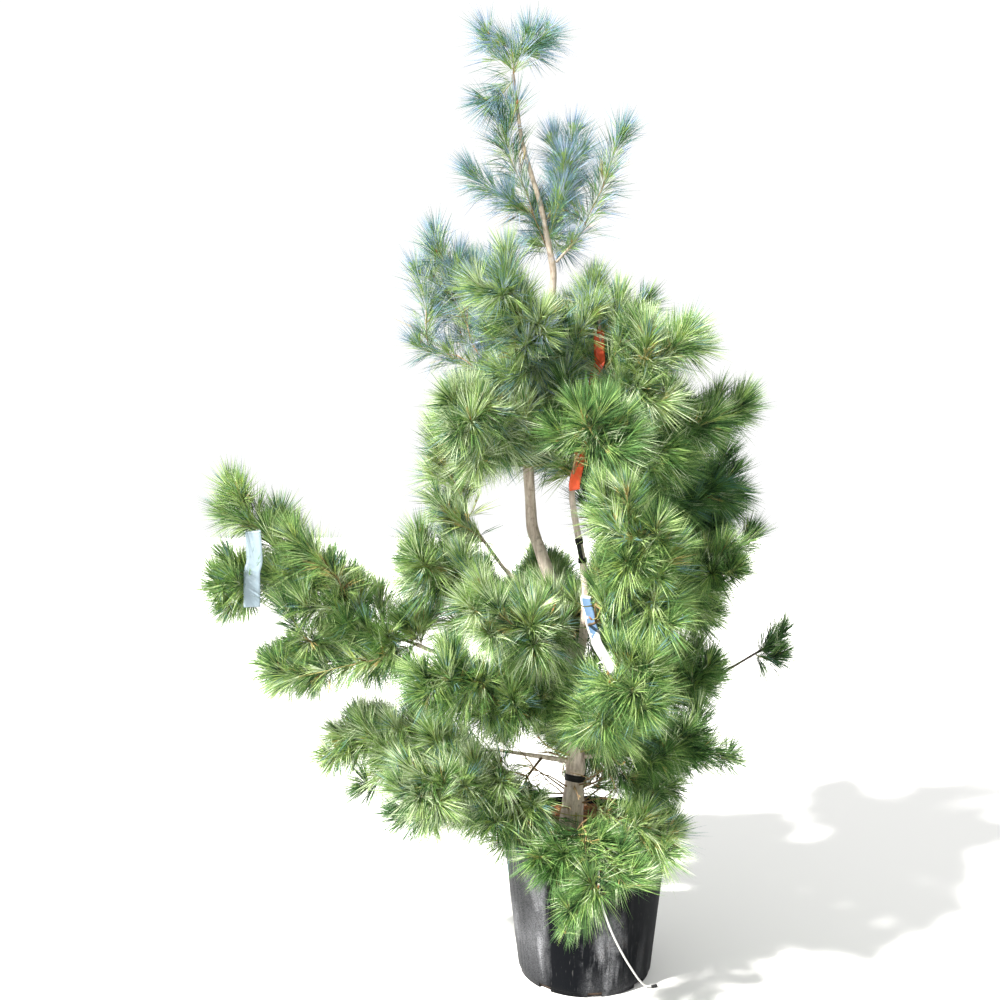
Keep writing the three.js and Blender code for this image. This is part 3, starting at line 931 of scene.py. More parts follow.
def side_shoot(main, share, turn):
    """A side shoot that ends a little way inside the crown's skin, or None where there is no room."""
    point, ahead = main.at([share])
    first, second = sides_of(ahead)
    angle = math.radians(random.uniform(*SIDE_ANGLES))
    aside = first[0] * math.cos(turn) + second[0] * math.sin(turn)
    aim = ahead[0] * math.cos(angle) + aside * math.sin(angle)
    scale = random.uniform(0.85, 1.1)
    for length in SIDE_LENGTHS:
        end = point[0] + (aim + SIDE_LIFT * UP) * length * scale
        if room_at(end) > SIDE_DEPTH:
            arrive = 0.6 * aim + SIDE_RISE * UP + random.normal(0.0, SIDE_SWAY, 3)
            tone = main.tone if random.random() < 0.5 else dealt_tone(main.mass)
            thick, thin = TWIG_TIP * 1.2, TWIG_TIP * END_SHARE
            return Shoot(point[0], end, aim, arrive, 0.0, main.mass, thick, thin, tone)
    return None


# Short shoots round the stems themselves, which hide them from all sides: (height, how many).
STEM_SHOOTS = {
    "trunk": ((0.70, 4), (0.90, 5), (1.35, 7), (1.47, 6), (1.58, 6), (0.56, 5)),
    "second_stem": ((1.29, 5), (1.42, 5), (1.55, 4)),
}
STEM_SHOOT_LENGTHS = (0.1, 0.19)
STEM_SHOOT_RISE = 0.7
goal_tree = point_tree(goals)
turn = 0.0
for name, whorls in STEM_SHOOTS.items():
    centres, _ = LIMBS[name]
    for height, many in whorls:
        for _ in range(many):
            turn += SIDE_TURN
            foot = centres[np.argmin(np.abs(centres[:, 2] - height - random.uniform(-0.02, 0.02)))]
            aim = np.array([math.cos(turn), math.sin(turn), random.uniform(0.5, 1.3)])
            end = foot + unit(aim) * random.uniform(*STEM_SHOOT_LENGTHS)
            mass = int(goal_mass[goal_tree.find(end)[1]])
            tone = dealt_tone(mass)
            shoots.append(
                Shoot(foot, end, aim, aim + STEM_SHOOT_RISE * UP, 0.0, mass, TWIG_TIP * 2.2, TWIG_TIP, tone)
            )

for main in list(shoots):
    count_here = random.poisson(SIDE_SHARE.get(SETS[main.mass], 1.0) * main.length / SIDE_SPACING)
    for share in random.random(count_here):
        turn += SIDE_TURN
        if main.back_at(share) > SEASON:
            shoot = side_shoot(main, share, turn)
            if shoot:
                shoots.append(shoot)

# Dead twigs without needles, low on the trunk, each with two forks.
BARE_TWIGS = 16
BARE_BETWEEN = (0.42, 0.56)
NO_TONE = (0, 0)
OLD_WOOD = 0.5
bare = []
centres, _ = LIMBS["trunk"]
for _ in range(BARE_TWIGS):
    turn += SIDE_TURN
    foot = centres[np.argmin(np.abs(centres[:, 2] - random.uniform(*BARE_BETWEEN)))]
    aim = np.array([math.cos(turn), math.sin(turn), random.uniform(0.1, 0.6)])
    end = foot + unit(aim) * random.uniform(0.1, 0.2)
    droop = np.array([0.0, 0.0, random.uniform(-1.6, 0.9)])
    bare.append(Shoot(foot, end, aim, aim + droop, OLD_WOOD, 0, 0.0026, 0.0011, NO_TONE))
    for _ in range(2):
        point, along = bare[-1].at([random.uniform(0.4, 0.8)])
        fork = unit(along[0] + random.normal(0.0, 0.6, 3))
        tip = point[0] + fork * random.uniform(0.04, 0.09)
        bare.append(Shoot(point[0], tip, fork, fork + 0.5 * droop, OLD_WOOD, 0, 0.0014, 0.0007, NO_TONE))

# Tan twigs that show between the sprays: each leaves the nearest limb and ends in a bud.
OPEN_TWIGS = [
    (0.158, -0.10, 1.019),
    (-0.192, -0.16, 0.968),
    (0.078, -0.20, 0.610),
    (-0.260, -0.12, 0.945),
]
open_twigs = []
station_tree = point_tree(place[: tree.stations])
for end in OPEN_TWIGS:
    foot = place[station_tree.find(end)[1]]
    run = np.array(end) - foot
    open_twigs.append(Shoot(foot, np.array(end), run, run + 0.08 * UP, 0.0, 0, 0.0034, 0.0017, NO_TONE))

# ---------------------------------------------------------------- twigs
TWIG_SIDES = 6
TWIG_STEP = 0.022
THICK_TWIG = 0.0035
FOOT_FLARE = 1.15
BUD = np.array([[0.0], [0.003], [0.008], [0.0115]])
BUD_RADII = (0.0014, 0.0026, 0.002, 0.0004)
twigs = Heap()
for shoot in shoots + bare + open_twigs:
    rings = max(int(shoot.length / TWIG_STEP), 3)
    shares = np.linspace(0.0, 1.0, rings)
    radii = shoot.thick + (shoot.thin - shoot.thick) * shares
    radii[0] *= FOOT_FLARE
    wood = YOUNG if shoot.back < SEASON else TAN if shoot.thick < THICK_TWIG else OLD
    twigs.add(*tube_of(shoot.at(shares)[0], radii, TWIG_SIDES), which=wood)
    if shoot.back == 0.0:
        bud = shoot.end + unit(shoot.arrive) * BUD
        twigs.add(*tube_of(bud, BUD_RADII, TWIG_SIDES), which=BUD_SCALE)

# ---------------------------------------------------------------- needles
FASCICLES = 91000
NEEDLES_EACH = 5
NEEDLE = 0.104
NEEDLE_HALF_WIDTH = 0.00088
# The bluish tufts are thinner than the rest, and their needles finer.
THIN_SETS = {"top": 0.8, "tufts": 0.58}
FINE_SETS = {"top": 0.78, "tufts": 0.78}


def density(back):
    """How thickly needles stand: most at the tip, less on older wood, none on the oldest."""
    held = np.clip((0.55 - back) / 0.25, 0.0, 1.0)
    return held * (0.5 + 0.5 * np.exp(-((back / 0.2) ** 2)) + 0.8 * np.exp(-((back / 0.014) ** 2)))


def needle_weight(shoot):
    """A shoot's share of the needles, by its length, its age and its part of the crown."""
    thickness = density(shoot.back_at(np.linspace(0.0, 1.0, 9))).mean()
    return THIN_SETS.get(SETS[shoot.mass], 1.0) * shoot.length * thickness


def bundle_feet():
    """Where the bundles stand on the shoots: place, direction, distance back from the bud, and shoot."""
    weights = np.array([needle_weight(shoot) for shoot in shoots])
    feet = []
    for index, many in enumerate(random.poisson(weights / weights.sum() * FASCICLES)):
        shoot = shoots[index]
        shares = random.random(many * 3)
        chance = density(shoot.back_at(shares))
        if many == 0 or chance.sum() <= 0.0:
            continue
        shares = random.choice(shares, many, p=chance / chance.sum())
        feet.append((*shoot.at(shares), shoot.back_at(shares), np.full(many, index)))
    return [np.concatenate(column) for column in zip(*feet)]


base, ahead, back, owner = bundle_feet()
mass_of = np.array([shoot.mass for shoot in shoots])[owner]


# How a bundle leans from its shoot, in degrees: at the tip, more on older wood, and how much that varies.
TIP_LEAN, OLD_LEAN, LEAN_SWAY = 21.0, 30.0, 13.0
LEAN_BACK = 0.1
BUNDLE_LIFT = 0.14
LENGTHS = (0.8, 1.1)
TIP_SHORTER, TIP_REACH = 0.15, 0.012
# How the needles of a bundle spread, in degrees, sag, and where they are widest.
SPLAYS = (1.5, 12.0)
SAGS = (0.04, 0.2)
WIDEST = 0.45


def needle_points(base, ahead, back, fine):
    """The needles of each bundle as kites: foot, two middle corners, point."""
    many = len(base)
    first, second = sides_of(ahead)
    turn = random.random(many) * 2 * math.pi
    lean = TIP_LEAN + OLD_LEAN * np.clip(back / LEAN_BACK, 0.0, 1.0) + random.normal(0.0, LEAN_SWAY, many)
    lean = np.radians(lean)
    out = first * np.cos(turn)[:, None] + second * np.sin(turn)[:, None]
    bundle = ahead * np.cos(lean)[:, None] + out * np.sin(lean)[:, None]
    bundle = unit(bundle + BUNDLE_LIFT * UP)
    at_tip = np.exp(-((back / TIP_REACH) ** 2))
    reach = NEEDLE * random.uniform(*LENGTHS, many) * (1.0 - TIP_SHORTER * at_tip)
    bundle_first, bundle_second = sides_of(bundle)
    parts = []
    for blade in range(NEEDLES_EACH):
        angle = 2 * math.pi * blade / NEEDLES_EACH + random.normal(0.0, 0.5, many)
        splay = np.tan(np.radians(random.uniform(*SPLAYS, many)))
        aside = bundle_first * np.cos(angle)[:, None] + bundle_second * np.sin(angle)[:, None]
        along = unit(bundle + aside * splay[:, None])
        long = reach * random.uniform(*LENGTHS, many)
        sag = long * random.uniform(*SAGS, many) * (1.0 - 0.6 * np.abs(along[:, 2]))
        middle = base + along * (long * WIDEST)[:, None]
        middle[:, 2] -= 0.05 * sag
        point = base + along * long[:, None]
        point[:, 2] -= sag
        wide = unit(np.cross(along, random.normal(0.0, 1.0, (many, 3))))
        wide = wide * NEEDLE_HALF_WIDTH * fine[:, None]
        parts.append(np.stack([base, middle - wide, middle + wide, point], 1))
    return np.stack(parts, 1)


fine_here = np.array([FINE_SETS.get(kind, 1.0) for kind in SETS])[mass_of]
blades = needle_points(base, ahead, back, fine_here)

# ---------------------------------------------------------------- where the sprays part
RIGHT = np.array([1.0, 0.0, 0.0])
AHEAD = np.array([0.0, math.cos(math.radians(CAMERA_DOWN)), -math.sin(math.radians(CAMERA_DOWN))])
OVER = np.cross(RIGHT, AHEAD)


def seen(points):
    """Places as they line up from the front: across, up, and how far away."""
    step = np.asarray(points, float) - np.array(CAMERA_PLACE)
    far = step @ AHEAD
    return np.stack([step @ RIGHT / far, step @ OVER / far, far], -1)


def between(name, low, high):
    """The part of a limb's centre line between two heights."""
    centres, _ = LIMBS[name]
    return centres[(centres[:, 2] > low) & (centres[:, 2] < high)]


def strip_line(name):
    """The centre line of a hanging label or tape."""
    return centre_line(name, UP, STRIP_SLICE)[0]


# The sprays part in front of these: the line, the clear width, the share of bundles gone.
label_line = strip_line("hang_label")
tape_line = strip_line("marker_tape")
SKY_OPENING = [(-0.277, 0.30, 1.177), (-0.243, 0.30, 1.143), (-0.221, 0.30, 1.107)]
PARTINGS = [
    (SKY_OPENING, 0.034, 0.9),
    (label_line, 0.019, 1.0),
    (strip_line("bough_label"), 0.028, 0.9),
    (tape_line[tape_line[:, 2] > 1.575], 0.026, 0.96),
    (tape_line[(tape_line[:, 2] > 1.36) & (tape_line[:, 2] < 1.475)], 0.016, 0.7),
    (tape_line[tape_line[:, 2] < 1.325], 0.028, 0.96),
    (between("trunk", 0.40, 0.54), 0.045, 0.97),
    (between("trunk", 1.09, 1.30), 0.02, 0.85),
    (between("trunk", 1.88, 2.22), 0.012, 0.6),
    (between("second_stem", 1.02, 1.28), 0.011, 0.75),
    (np.array(DRIP_ROUTE)[8:13], 0.012, 0.93),
    (LIMBS["bough_base_left"][0], 0.011, 0.7),
]
for twig in open_twigs:
    PARTINGS.append((twig.at(np.linspace(0.25, 1.0, 30))[0], 0.009, 0.8))
BUNDLE_SHARES = (0.0, 0.25, 0.5, 0.75, 1.0)
BEHIND = 0.004
along_bundle = np.stack([base + (blades[:, 0, 3] - base) * share for share in BUNDLE_SHARES], 1)
bundle_seen = seen(along_bundle)
parted = np.zeros(len(base), bool)


def part_in_front(line, width, gone):
    """Takes away a share of the bundles that pass in front of a line."""
    line_seen = seen(line)
    reach = width / line_seen[:, 2].mean()
    low, high = line_seen.min(0) - reach, line_seen.max(0) + reach
    near = (bundle_seen[..., 0] > low[0]) & (bundle_seen[..., 0] < high[0])
    near &= (bundle_seen[..., 1] > low[1]) & (bundle_seen[..., 1] < high[1])
    near &= bundle_seen[..., 2] < high[2] + BEHIND
    for index in np.nonzero(near.any(1))[0]:
        for point in bundle_seen[index][near[index]]:
            away = np.hypot(line_seen[:, 0] - point[0], line_seen[:, 1] - point[1])
            closest = away.argmin()
            if away[closest] < reach and point[2] < line_seen[closest, 2] + BEHIND:
                parted[index] |= random.random() < gone
                break


def part_for_sun(line, width, reach, gone):
    """Takes away a share of the bundles that shade a line."""
    for lit in line[::2]:
        step = along_bundle - lit
        towards = step @ SUN_WAY
        away = np.linalg.norm(step - towards[..., None] * SUN_WAY, axis=-1)
        shades = ((away < width) & (towards > 0.0) & (towards < reach)).any(1) & ~parted
        parted[shades & (random.random(len(base)) < gone)] = True


for parting in PARTINGS:
    part_in_front(*parting)

# Sprays part for the light too, so that the label and the trunk's foot stand in the sun:
# the line, the clear width, how far towards the sun, the share of bundles gone.
SUN_PARTINGS = [
    (label_line, 0.026, 2.0, 0.85),
    (between("trunk", 0.40, 0.54), 0.034, 0.24, 0.6),
]
for parting in SUN_PARTINGS:
    part_for_sun(*parting)

# The low spray in front of the pot stays narrow, and ends well above the ground.
# Its sides and heights are slopes, as seen() gives them.
LOW_SPRAY = (0.040, 0.106)
LOW_FROM, LOW_END = -0.338, -0.388
FRONT = -0.12
tip_seen = bundle_seen[:, -1]
low_front = (tip_seen[:, 1] < LOW_FROM) & (base[:, 1] < FRONT)
aside = (tip_seen[:, 0] < LOW_SPRAY[0]) | (tip_seen[:, 0] > LOW_SPRAY[1])
parted |= low_front & (aside | (tip_seen[:, 1] < LOW_END))

# No needle goes farther past the CAD's box than this, or touches the ground.
ROOM = 0.034
ABOVE_GROUND = 0.006
tip_points = blades[:, :, 3]
low_room = np.array(cad_box[0]) - ROOM
high_room = np.array(cad_box[1]) + ROOM
keep = ((tip_points > low_room) & (tip_points < high_room)).all((1, 2))
keep &= (tip_points[:, :, 2] > ABOVE_GROUND).all(1) & ~parted

# ---------------------------------------------------------------- the needles' colours and pieces
INNER_FROM = 0.036
INNER_SPAN = 0.045
INNER_MOST = 0.9
OWN_TONES = 0.88
OLD_BACK = 0.1
OLD_LUCK = 0.95
foot_tone, point_tone = (np.array(tones)[owner] for tones in zip(*(shoot.tone for shoot in shoots)))
# Most bundles are dealt tones of their own, and the rest keep their spray's.
luck = random.random(len(owner))
own = np.array([dealt_tone(mass) for mass in mass_of])
foot_tone = np.where(luck < OWN_TONES, own[:, 0], foot_tone)
point_tone = np.where(luck < OWN_TONES, own[:, 1], point_tone)
# Painted shade: the deeper inside the crown a bundle stands, the likelier it is dealt the dark shade and deep
# tones.
inner = np.array([depth_at(point) for point in base])
painted_shade_inside = random.random(len(base)) < np.clip((inner - INNER_FROM) / INNER_SPAN, 0.0, INNER_MOST)
foot_tone = np.where(painted_shade_inside, TONE["shade"], foot_tone)
point_tone = np.where(painted_shade_inside, TONE["deep"], point_tone)
# A few of those that stand far back are dead.
old = (back > OLD_BACK) & (luck > OLD_LUCK)
foot_tone = np.where(old, TONE["rust"], foot_tone)
point_tone = np.where(old, TONE["straw"], point_tone)

region = np.array([REGION_OF[mass] for mass in MASSES])[mass_of]
KITE = np.array([0, 1, 2, 1, 3, 2])


def needle_piece(name, index):
    """One region's needles, as two triangles each, one of the foot's tone and one of the point's."""
    mine = keep & (region == index)
    points = blades[mine].reshape(-1, 3)
    blades_here = len(points) // 4
    corners = (np.arange(blades_here)[:, None] * 4 + KITE).ravel()
    which = np.stack([foot_tone[mine], point_tone[mine]], 1)
    which = np.repeat(which[:, None], NEEDLES_EACH, 1).ravel()
    piece = mesh_object(name, points, corners, np.full(blades_here * 2, 3), NEEDLE_MATERIALS, which)
    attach(piece, "root")
    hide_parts(*["foliage_" + mass for mass in REGIONS[name]])


for index, name in enumerate(REGIONS):
    needle_piece(name, index)

twig_piece = twigs.made("twigs", TWIG_MATERIALS)
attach(twig_piece, "root")

# ---------------------------------------------------------------- trunk, second stem and boughs
LIMB_STEP = 0.006
STEM_SIDES = 40
BOUGH_SIDES = 20
SWELL = 0.10
SWELL_REACH = 0.012
ROUGH_FOOT = 0.75
# The bare bough on the far right is thin and dark.
FAR_BOUGH = "bough_far_right"
FAR_RADIUS = 0.0034
FAR_BARK = plain("bark_far", srgb(66, 56, 52), 0.85)


def even_path(centres, radii, step):
    """The centre line resampled at even steps, with its small wobbles taken out."""
    for _ in range(3):
        centres[1:-1] = (centres[:-2] + 2 * centres[1:-1] + centres[2:]) / 4
        radii[1:-1] = (radii[:-2] + 2 * radii[1:-1] + radii[2:]) / 4
    run = np.concatenate([[0.0], np.cumsum(np.linalg.norm(np.diff(centres, axis=0), axis=1))])
    at = np.linspace(0.0, run[-1], max(int(run[-1] / step), 6))
    path = np.stack([np.interp(at, run, centres[:, axis]) for axis in range(3)], 1)
    return path, np.interp(at, run, radii)


def limb_shape(name):
    """A limb with the relief of its bark: shallow fissures, lumps, and a swelling where shoots leave."""
    centres, radii = LIMBS[name]
    path, thick = even_path(centres.copy(), radii.copy(), LIMB_STEP)
    limb = list(LIMBS).index(name)
    forks = []
    for node in grown:
        if parent[node] < tree.stations and tree.limb[parent[node]][0] == limb:
            forks.append(place[parent[node]])
    if forks:
        near = np.array([np.linalg.norm(np.array(forks) - point, axis=1).min() for point in path])
        thick = thick * (1.0 + SWELL * np.exp(-((near / SWELL_REACH) ** 2)))
    if name == FAR_BOUGH:
        thick = np.maximum(thick, FAR_RADIUS)

    def relief(ring, point):
        """How far the bark stands proud at a place on one of the limb's rings."""
        x, y, z = point
        rough = 0.0016 if name == "trunk" and z < ROUGH_FOOT else 0.0008
        rough = min(rough, thick[ring] * 0.08)
        crack = noise.fractal(Vector((x * 70, y * 70, z * 16)), 0.6, 2.1, 4)
        lump = noise.noise(Vector((x * 25, y * 25, z * 30)))
        return rough * (0.8 * crack + 0.7 * lump)

    return tube_of(path, thick, STEM_SIDES if name in STEMS else BOUGH_SIDES, relief)


limb_pieces = {
    "trunk_bark": ["trunk"],
    "second_stem_bark": ["second_stem"],
    "boughs_bark": [name for name in BOUGHS if name != FAR_BOUGH],
    "far_bough_bark": [FAR_BOUGH],
}
for piece_name, names in limb_pieces.items():
    heap = Heap()
    for name in names:
        heap.add(*limb_shape(name))
    piece = heap.made(piece_name, [FAR_BARK if FAR_BOUGH in names else BARK])
    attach(piece, "root")
    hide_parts(*names)

# ---------------------------------------------------------------- the pot
POT_SIDES = 216
POT_HEIGHT = 0.380
POT_BASE = 0.1715
POT_RIM = 0.215
POT_WALL = 0.003
POT_LIP = 0.2225
LIP_HEIGHT = 0.020
FOOT_HEIGHT = 0.012
FOOT_STEP = 0.003
POT_FLOOR = 0.004
DRAINS = 8
DRAIN_TURN = math.radians(5.0)
DRAIN_SIZE = (0.026, 0.036, 0.016)
# Where the upright grooves lie round the wall, in degrees, and their size.
POT_GROOVES = [quarter + step for quarter in (22.0, 112.0, 202.0, 292.0) for step in (0.0, 6.0, 12.0)]
GROOVE_DEPTH = 0.0022
GROOVE_WIDTH = 0.0032
WALL_RADIUS = 0.195
FLUTES = 8
FLUTE_DEPTH = 0.0018
# The faces of a box whose lower and upper corners are both listed anticlockwise.
BOX_FACES = [(3, 2, 1, 0), (4, 5, 6, 7), (0, 1, 5, 4), (1, 2, 6, 5), (2, 3, 7, 6), (3, 0, 4, 7)]
BOX_CORNERS = ((-1, -1), (1, -1), (1, 1), (-1, 1))


def wall_at(height):
    """The pot's outer radius below the lip."""
    return POT_BASE + (POT_RIM - POT_BASE) * height / POT_HEIGHT


def pot_profile():
    """The pot's section as (radius, height, how much the wall's own shape shows)."""
    shoulder = POT_HEIGHT - LIP_HEIGHT
    lines = [
        (0.0, 0.0, 0.0),
        (0.06, 0.0, 0.0),
        (0.12, 0.0, 0.0),
        (POT_BASE - FOOT_STEP - 0.002, 0.0, 0.0),
        (POT_BASE - FOOT_STEP, 0.0015, 0.2),
        (wall_at(FOOT_HEIGHT) - FOOT_STEP, FOOT_HEIGHT, 0.5),
        (wall_at(FOOT_HEIGHT) - 0.0012, FOOT_HEIGHT + 0.0012, 0.7),
    ]
    for height in np.linspace(FOOT_HEIGHT + FOOT_STEP, shoulder - 0.004, 34):
        lines.append((wall_at(height), height, 1.0))
    lines += [
        (wall_at(shoulder), shoulder - 0.001, 0.8),
        (POT_LIP - 0.0035, shoulder + 0.0002, 0.6),
        (POT_LIP - 0.001, shoulder + 0.0012, 0.6),
        (POT_LIP, shoulder + 0.004, 0.6),
        (POT_LIP, POT_HEIGHT - 0.0045, 0.6),
        (POT_LIP - 0.0012, POT_HEIGHT - 0.0015, 0.6),
        (POT_LIP - 0.0035, POT_HEIGHT, 0.6),
        (POT_RIM - POT_WALL + 0.001, POT_HEIGHT, 0.6),
        (POT_RIM - POT_WALL, POT_HEIGHT - 0.001, 0.6),
    ]
    for height in np.linspace(shoulder, POT_FLOOR + 0.012, 12):
        lines.append((wall_at(height) - POT_WALL, height, 1.0))
    lines += [(wall_at(POT_FLOOR) - POT_WALL, POT_FLOOR, 0.5), (0.08, POT_FLOOR, 0.0), (0.0, POT_FLOOR, 0.0)]
    return lines


def pot_relief(angle, height):
    """The thin wall's waviness, its pressed flutes and its moulded ribs."""
    x, y = math.cos(angle), math.sin(angle)
    wave = 0.0016 * noise.noise(Vector((x * 2.2, y * 2.2, height * 5.0)))
    wave += 0.0007 * noise.noise(Vector((x * 7.0, y * 7.0, height * 9.0 + 4.0)))
    mid = max(0.0, 1.0 - abs(height - 0.2) / 0.17) ** 0.5
    flute = math.cos(FLUTES * angle + 1.1)
    wave -= FLUTE_DEPTH * mid * max(0.0, flute - 0.55) / 0.45
    if 0.03 < height < 0.31:
        for groove in POT_GROOVES:
            away = (angle - math.radians(groove) + math.pi) % (2 * math.pi) - math.pi
            wave -= GROOVE_DEPTH * math.exp(-((away * WALL_RADIUS / GROOVE_WIDTH) ** 2))
    return wave


def turned(lines, sides, relief=None):
    """A closed shape turned round the upright axis from its section."""
    points, faces, rows = [], [], []
    for radius, height, share in lines:
        if radius == 0.0:
            rows.append([len(points)] * sides)
            points.append((0.0, 0.0, height))
            continue
        rows.append(list(range(len(points), len(points) + sides)))
        for side in range(sides):
            angle = 2 * math.pi * side / sides
            out = radius + (relief(angle, height) * share if relief else 0.0)
            points.append((out * math.cos(angle), out * math.sin(angle), height))
    for below, above in zip(rows, rows[1:]):
        for side in range(sides):
            after = (side + 1) % sides
            corners = [below[side], below[after], above[after], above[side]]
            faces.append(tuple(dict.fromkeys(corners)))
    return np.array(points), faces


def cutter_boxes():
    """The drain slots round the pot's foot, as one mesh of boxes."""
    heap = Heap()
    deep, wide, high = DRAIN_SIZE
    for drain in range(DRAINS):
        turn_here = DRAIN_TURN + 2 * math.pi * drain / DRAINS
        out = np.array([math.cos(turn_here), math.sin(turn_here), 0.0])
        aside = np.array([-out[1], out[0], 0.0])
        corners = []
        for height in (-0.002, high - 0.001):
            for along, across in BOX_CORNERS:
                corner = out * (POT_BASE + along * deep / 2) + aside * across * wide / 2
                corners.append(corner + height * UP)
        heap.add(corners, BOX_FACES)
    return heap.made("drain_cutters", [], smooth=False)


def plastic_material():
    """Old black nursery plastic: dusty, scuffed in streaks, dull; its dust lies in bands that paint the sun
    on the left and shade in a band and on the right.
    """
    g = Graph("nursery_plastic")
    side = g.axis("X")
    height = g.axis("Z")
    streaks = g.noise(1.0, 5.0, 0.6, g.scaled((30.0, 30.0, 4.0)))
    patches = g.noise(6.5, 5.0, 0.62)
    grit = g.noise(420.0, 3.0, 0.6)
    scratches = g.noise(1.0, 2.0, 0.5, g.scaled((260.0, 260.0, 14.0), (0.2, 0.1, 0.0)))
    dust = g.maths("MULTIPLY", g.range(streaks, 0.44, 0.62), g.range(patches, 0.46, 0.60))
    dust = g.maths("ADD", dust, g.range(height, 0.09, 0.0, 0.0, 0.22))
    dust = g.maths("MULTIPLY", dust, g.range(grit, 0.38, 0.6, 0.25, 1.0))
    # Dust lies thick on the left, partly painted sunlight; then comes a black band, a painted shadow of the
    # low spray; then a thinner coat, thickest low down, that fades towards the right and the top as painted
    # shade.
    wander = g.range(streaks, 0.3, 0.7, -0.012, 0.012)
    wander = g.maths("ADD", wander, g.range(patches, 0.3, 0.7, -0.01, 0.01))
    across = g.maths("ADD", side, wander)
    lit_left_dust = g.range(across, -0.098, -0.112)
    right_dust_and_shade = g.range(across, -0.030, -0.004)
    right_dust_and_shade = g.maths("MULTIPLY", right_dust_and_shade, g.range(across, 0.115, 0.065, 0.12, 0.9))
    right_dust_and_shade = g.maths("MULTIPLY", right_dust_and_shade, g.range(height, 0.30, 0.13, 0.15, 1.0))
    dust_light_and_shade = g.maths("ADD", lit_left_dust, right_dust_and_shade)
    dust = g.maths("MULTIPLY", dust, g.maths("ADD", dust_light_and_shade, 0.02))
    film = g.maths("MULTIPLY", lit_left_dust, g.range(grit, 0.38, 0.6, 0.12, 0.45))
    dust = g.maths("ADD", dust, g.maths("MULTIPLY", film, g.range(height, 0.02, 0.12)))
    base = g.mix(dust, srgb(6, 8, 12), srgb(128, 129, 133))
    base = g.mix(g.range(scratches, 0.66, 0.74, 0.0, 0.3), base, srgb(96, 95, 94))
    base = g.mix(g.range(patches, 0.62, 0.74, 0.0, 0.15), base, srgb(96, 78, 60))
    g.colour(base)
    g.roughness(g.range(dust, 0.0, 0.8, 0.5, 0.9))
    g.bump(g.maths("ADD", g.maths("MULTIPLY", grit, 0.35), scratches), 0.0004, 0.5)
    g.shader.inputs["Specular IOR Level"].default_value = 0.05
    return g.material


def pot_piece():
    """The pot turned from its section, with its drain slots cut."""
    heap = Heap()
    heap.add(*turned(pot_profile(), POT_SIDES, pot_relief))
    rough = heap.made("pot_turned", [plastic_material()])
    cutters = cutter_boxes()
    cut = rough.modifiers.new("drains", "BOOLEAN")
    cut.operation = "DIFFERENCE"
    cut.solver = "MANIFOLD"
    cut.object = cutters
    finished = rough.evaluated_get(bpy.context.evaluated_depsgraph_get())
    made = bpy.data.objects.new("nursery_pot", bpy.data.meshes.new_from_object(finished))
    scene.collection.objects.link(made)
    for spare in (rough, cutters):
        bpy.data.objects.remove(spare)
    return made


pot = pot_piece()
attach(pot, "root")
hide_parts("pot")

# ---------------------------------------------------------------- the root ball
SOIL_EDGE = 0.360
SOIL_MIDDLE = 0.371
MOUND_RADIUS = 0.062
SOIL_SIDES = 120
SOIL_LUMP = 0.0022
SOIL_SUNK = 0.0015


def soil_material():
    """Damp bark mulch and peat, in brown crumbs."""
    g = Graph("bark_mulch")
    crumbs = g.node("ShaderNodeTexVoronoi", Scale=95.0)
    g.link(g.place, crumbs.inputs["Vector"])
    fine = g.noise(240.0, 5.0, 0.65)
    broad = g.noise(14.0, 3.0, 0.5)
    base = g.mix(g.range(fine, 0.3, 0.7), srgb(34, 26, 21), srgb(76, 58, 44))
    base = g.mix(g.range(broad, 0.4, 0.65, 0.0, 0.5), base, srgb(96, 76, 58))
    g.colour(g.mix(g.range(crumbs.outputs["Distance"], 0.0, 0.5, 0.6, 0.0), base, srgb(30, 22, 17)))
    g.roughness(g.range(fine, 0.3, 0.7, 0.85, 0.98))
    g.bump(g.maths("ADD", fine, crumbs.outputs["Distance"]), 0.002, 0.9)
    return g.material


def soil_top(radius):
    """The height of the soil at a distance from the middle."""
    if radius < MOUND_RADIUS:
        return SOIL_MIDDLE
    share = (radius - MOUND_RADIUS) / (wall_at(SOIL_EDGE) - POT_WALL - MOUND_RADIUS)
    return SOIL_MIDDLE + (SOIL_EDGE - SOIL_MIDDLE) * min(share, 1.0)


def ball_radius(height):
    """The root ball's radius, a little clear of the pot's wall."""
    return wall_at(height) - POT_WALL - 0.0022


def soil_lines():
    """The root ball's section as (radius, height, no wall shape)."""
    foot = POT_FLOOR + 0.0004
    lines = [(0.0, foot, 0.0), (ball_radius(POT_FLOOR) - 0.004, foot, 0.0)]
    for height in np.linspace(0.02, SOIL_EDGE - 0.006, 14):
        lines.append((ball_radius(height), height, 0.0))
    for radius in np.linspace(ball_radius(SOIL_EDGE) - 0.001, 0.004, 60):
        lines.append((radius, soil_top(radius) - SOIL_SUNK, 0.0))
    return lines + [(0.0, SOIL_MIDDLE - SOIL_SUNK, 0.0)]


def soil_piece():
    """The root ball, with lumps on its top."""
    points, faces = turned(soil_lines(), SOIL_SIDES)
    for point in points:
        if point[2] > SOIL_EDGE - 0.004:
            lump = noise.fractal(Vector(point * 60.0), 0.7, 2.0, 4)
            lump += 0.8 * noise.noise(Vector(point * 22.0))
            point[2] += SOIL_LUMP * lump
    heap = Heap()
    heap.add(points, faces)
    return heap.made("root_ball_soil", [soil_material()])


soil = soil_piece()
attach(soil, "root")
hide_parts("root_ball")

# ---------------------------------------------------------------- the litter on the soil
CHIPS = 420
DEAD_NEEDLES = 1500
LITTER_RADIUS = 0.2
TRUNK_ROOM = 0.03
CHIP_TONES = 3
litter = Heap()


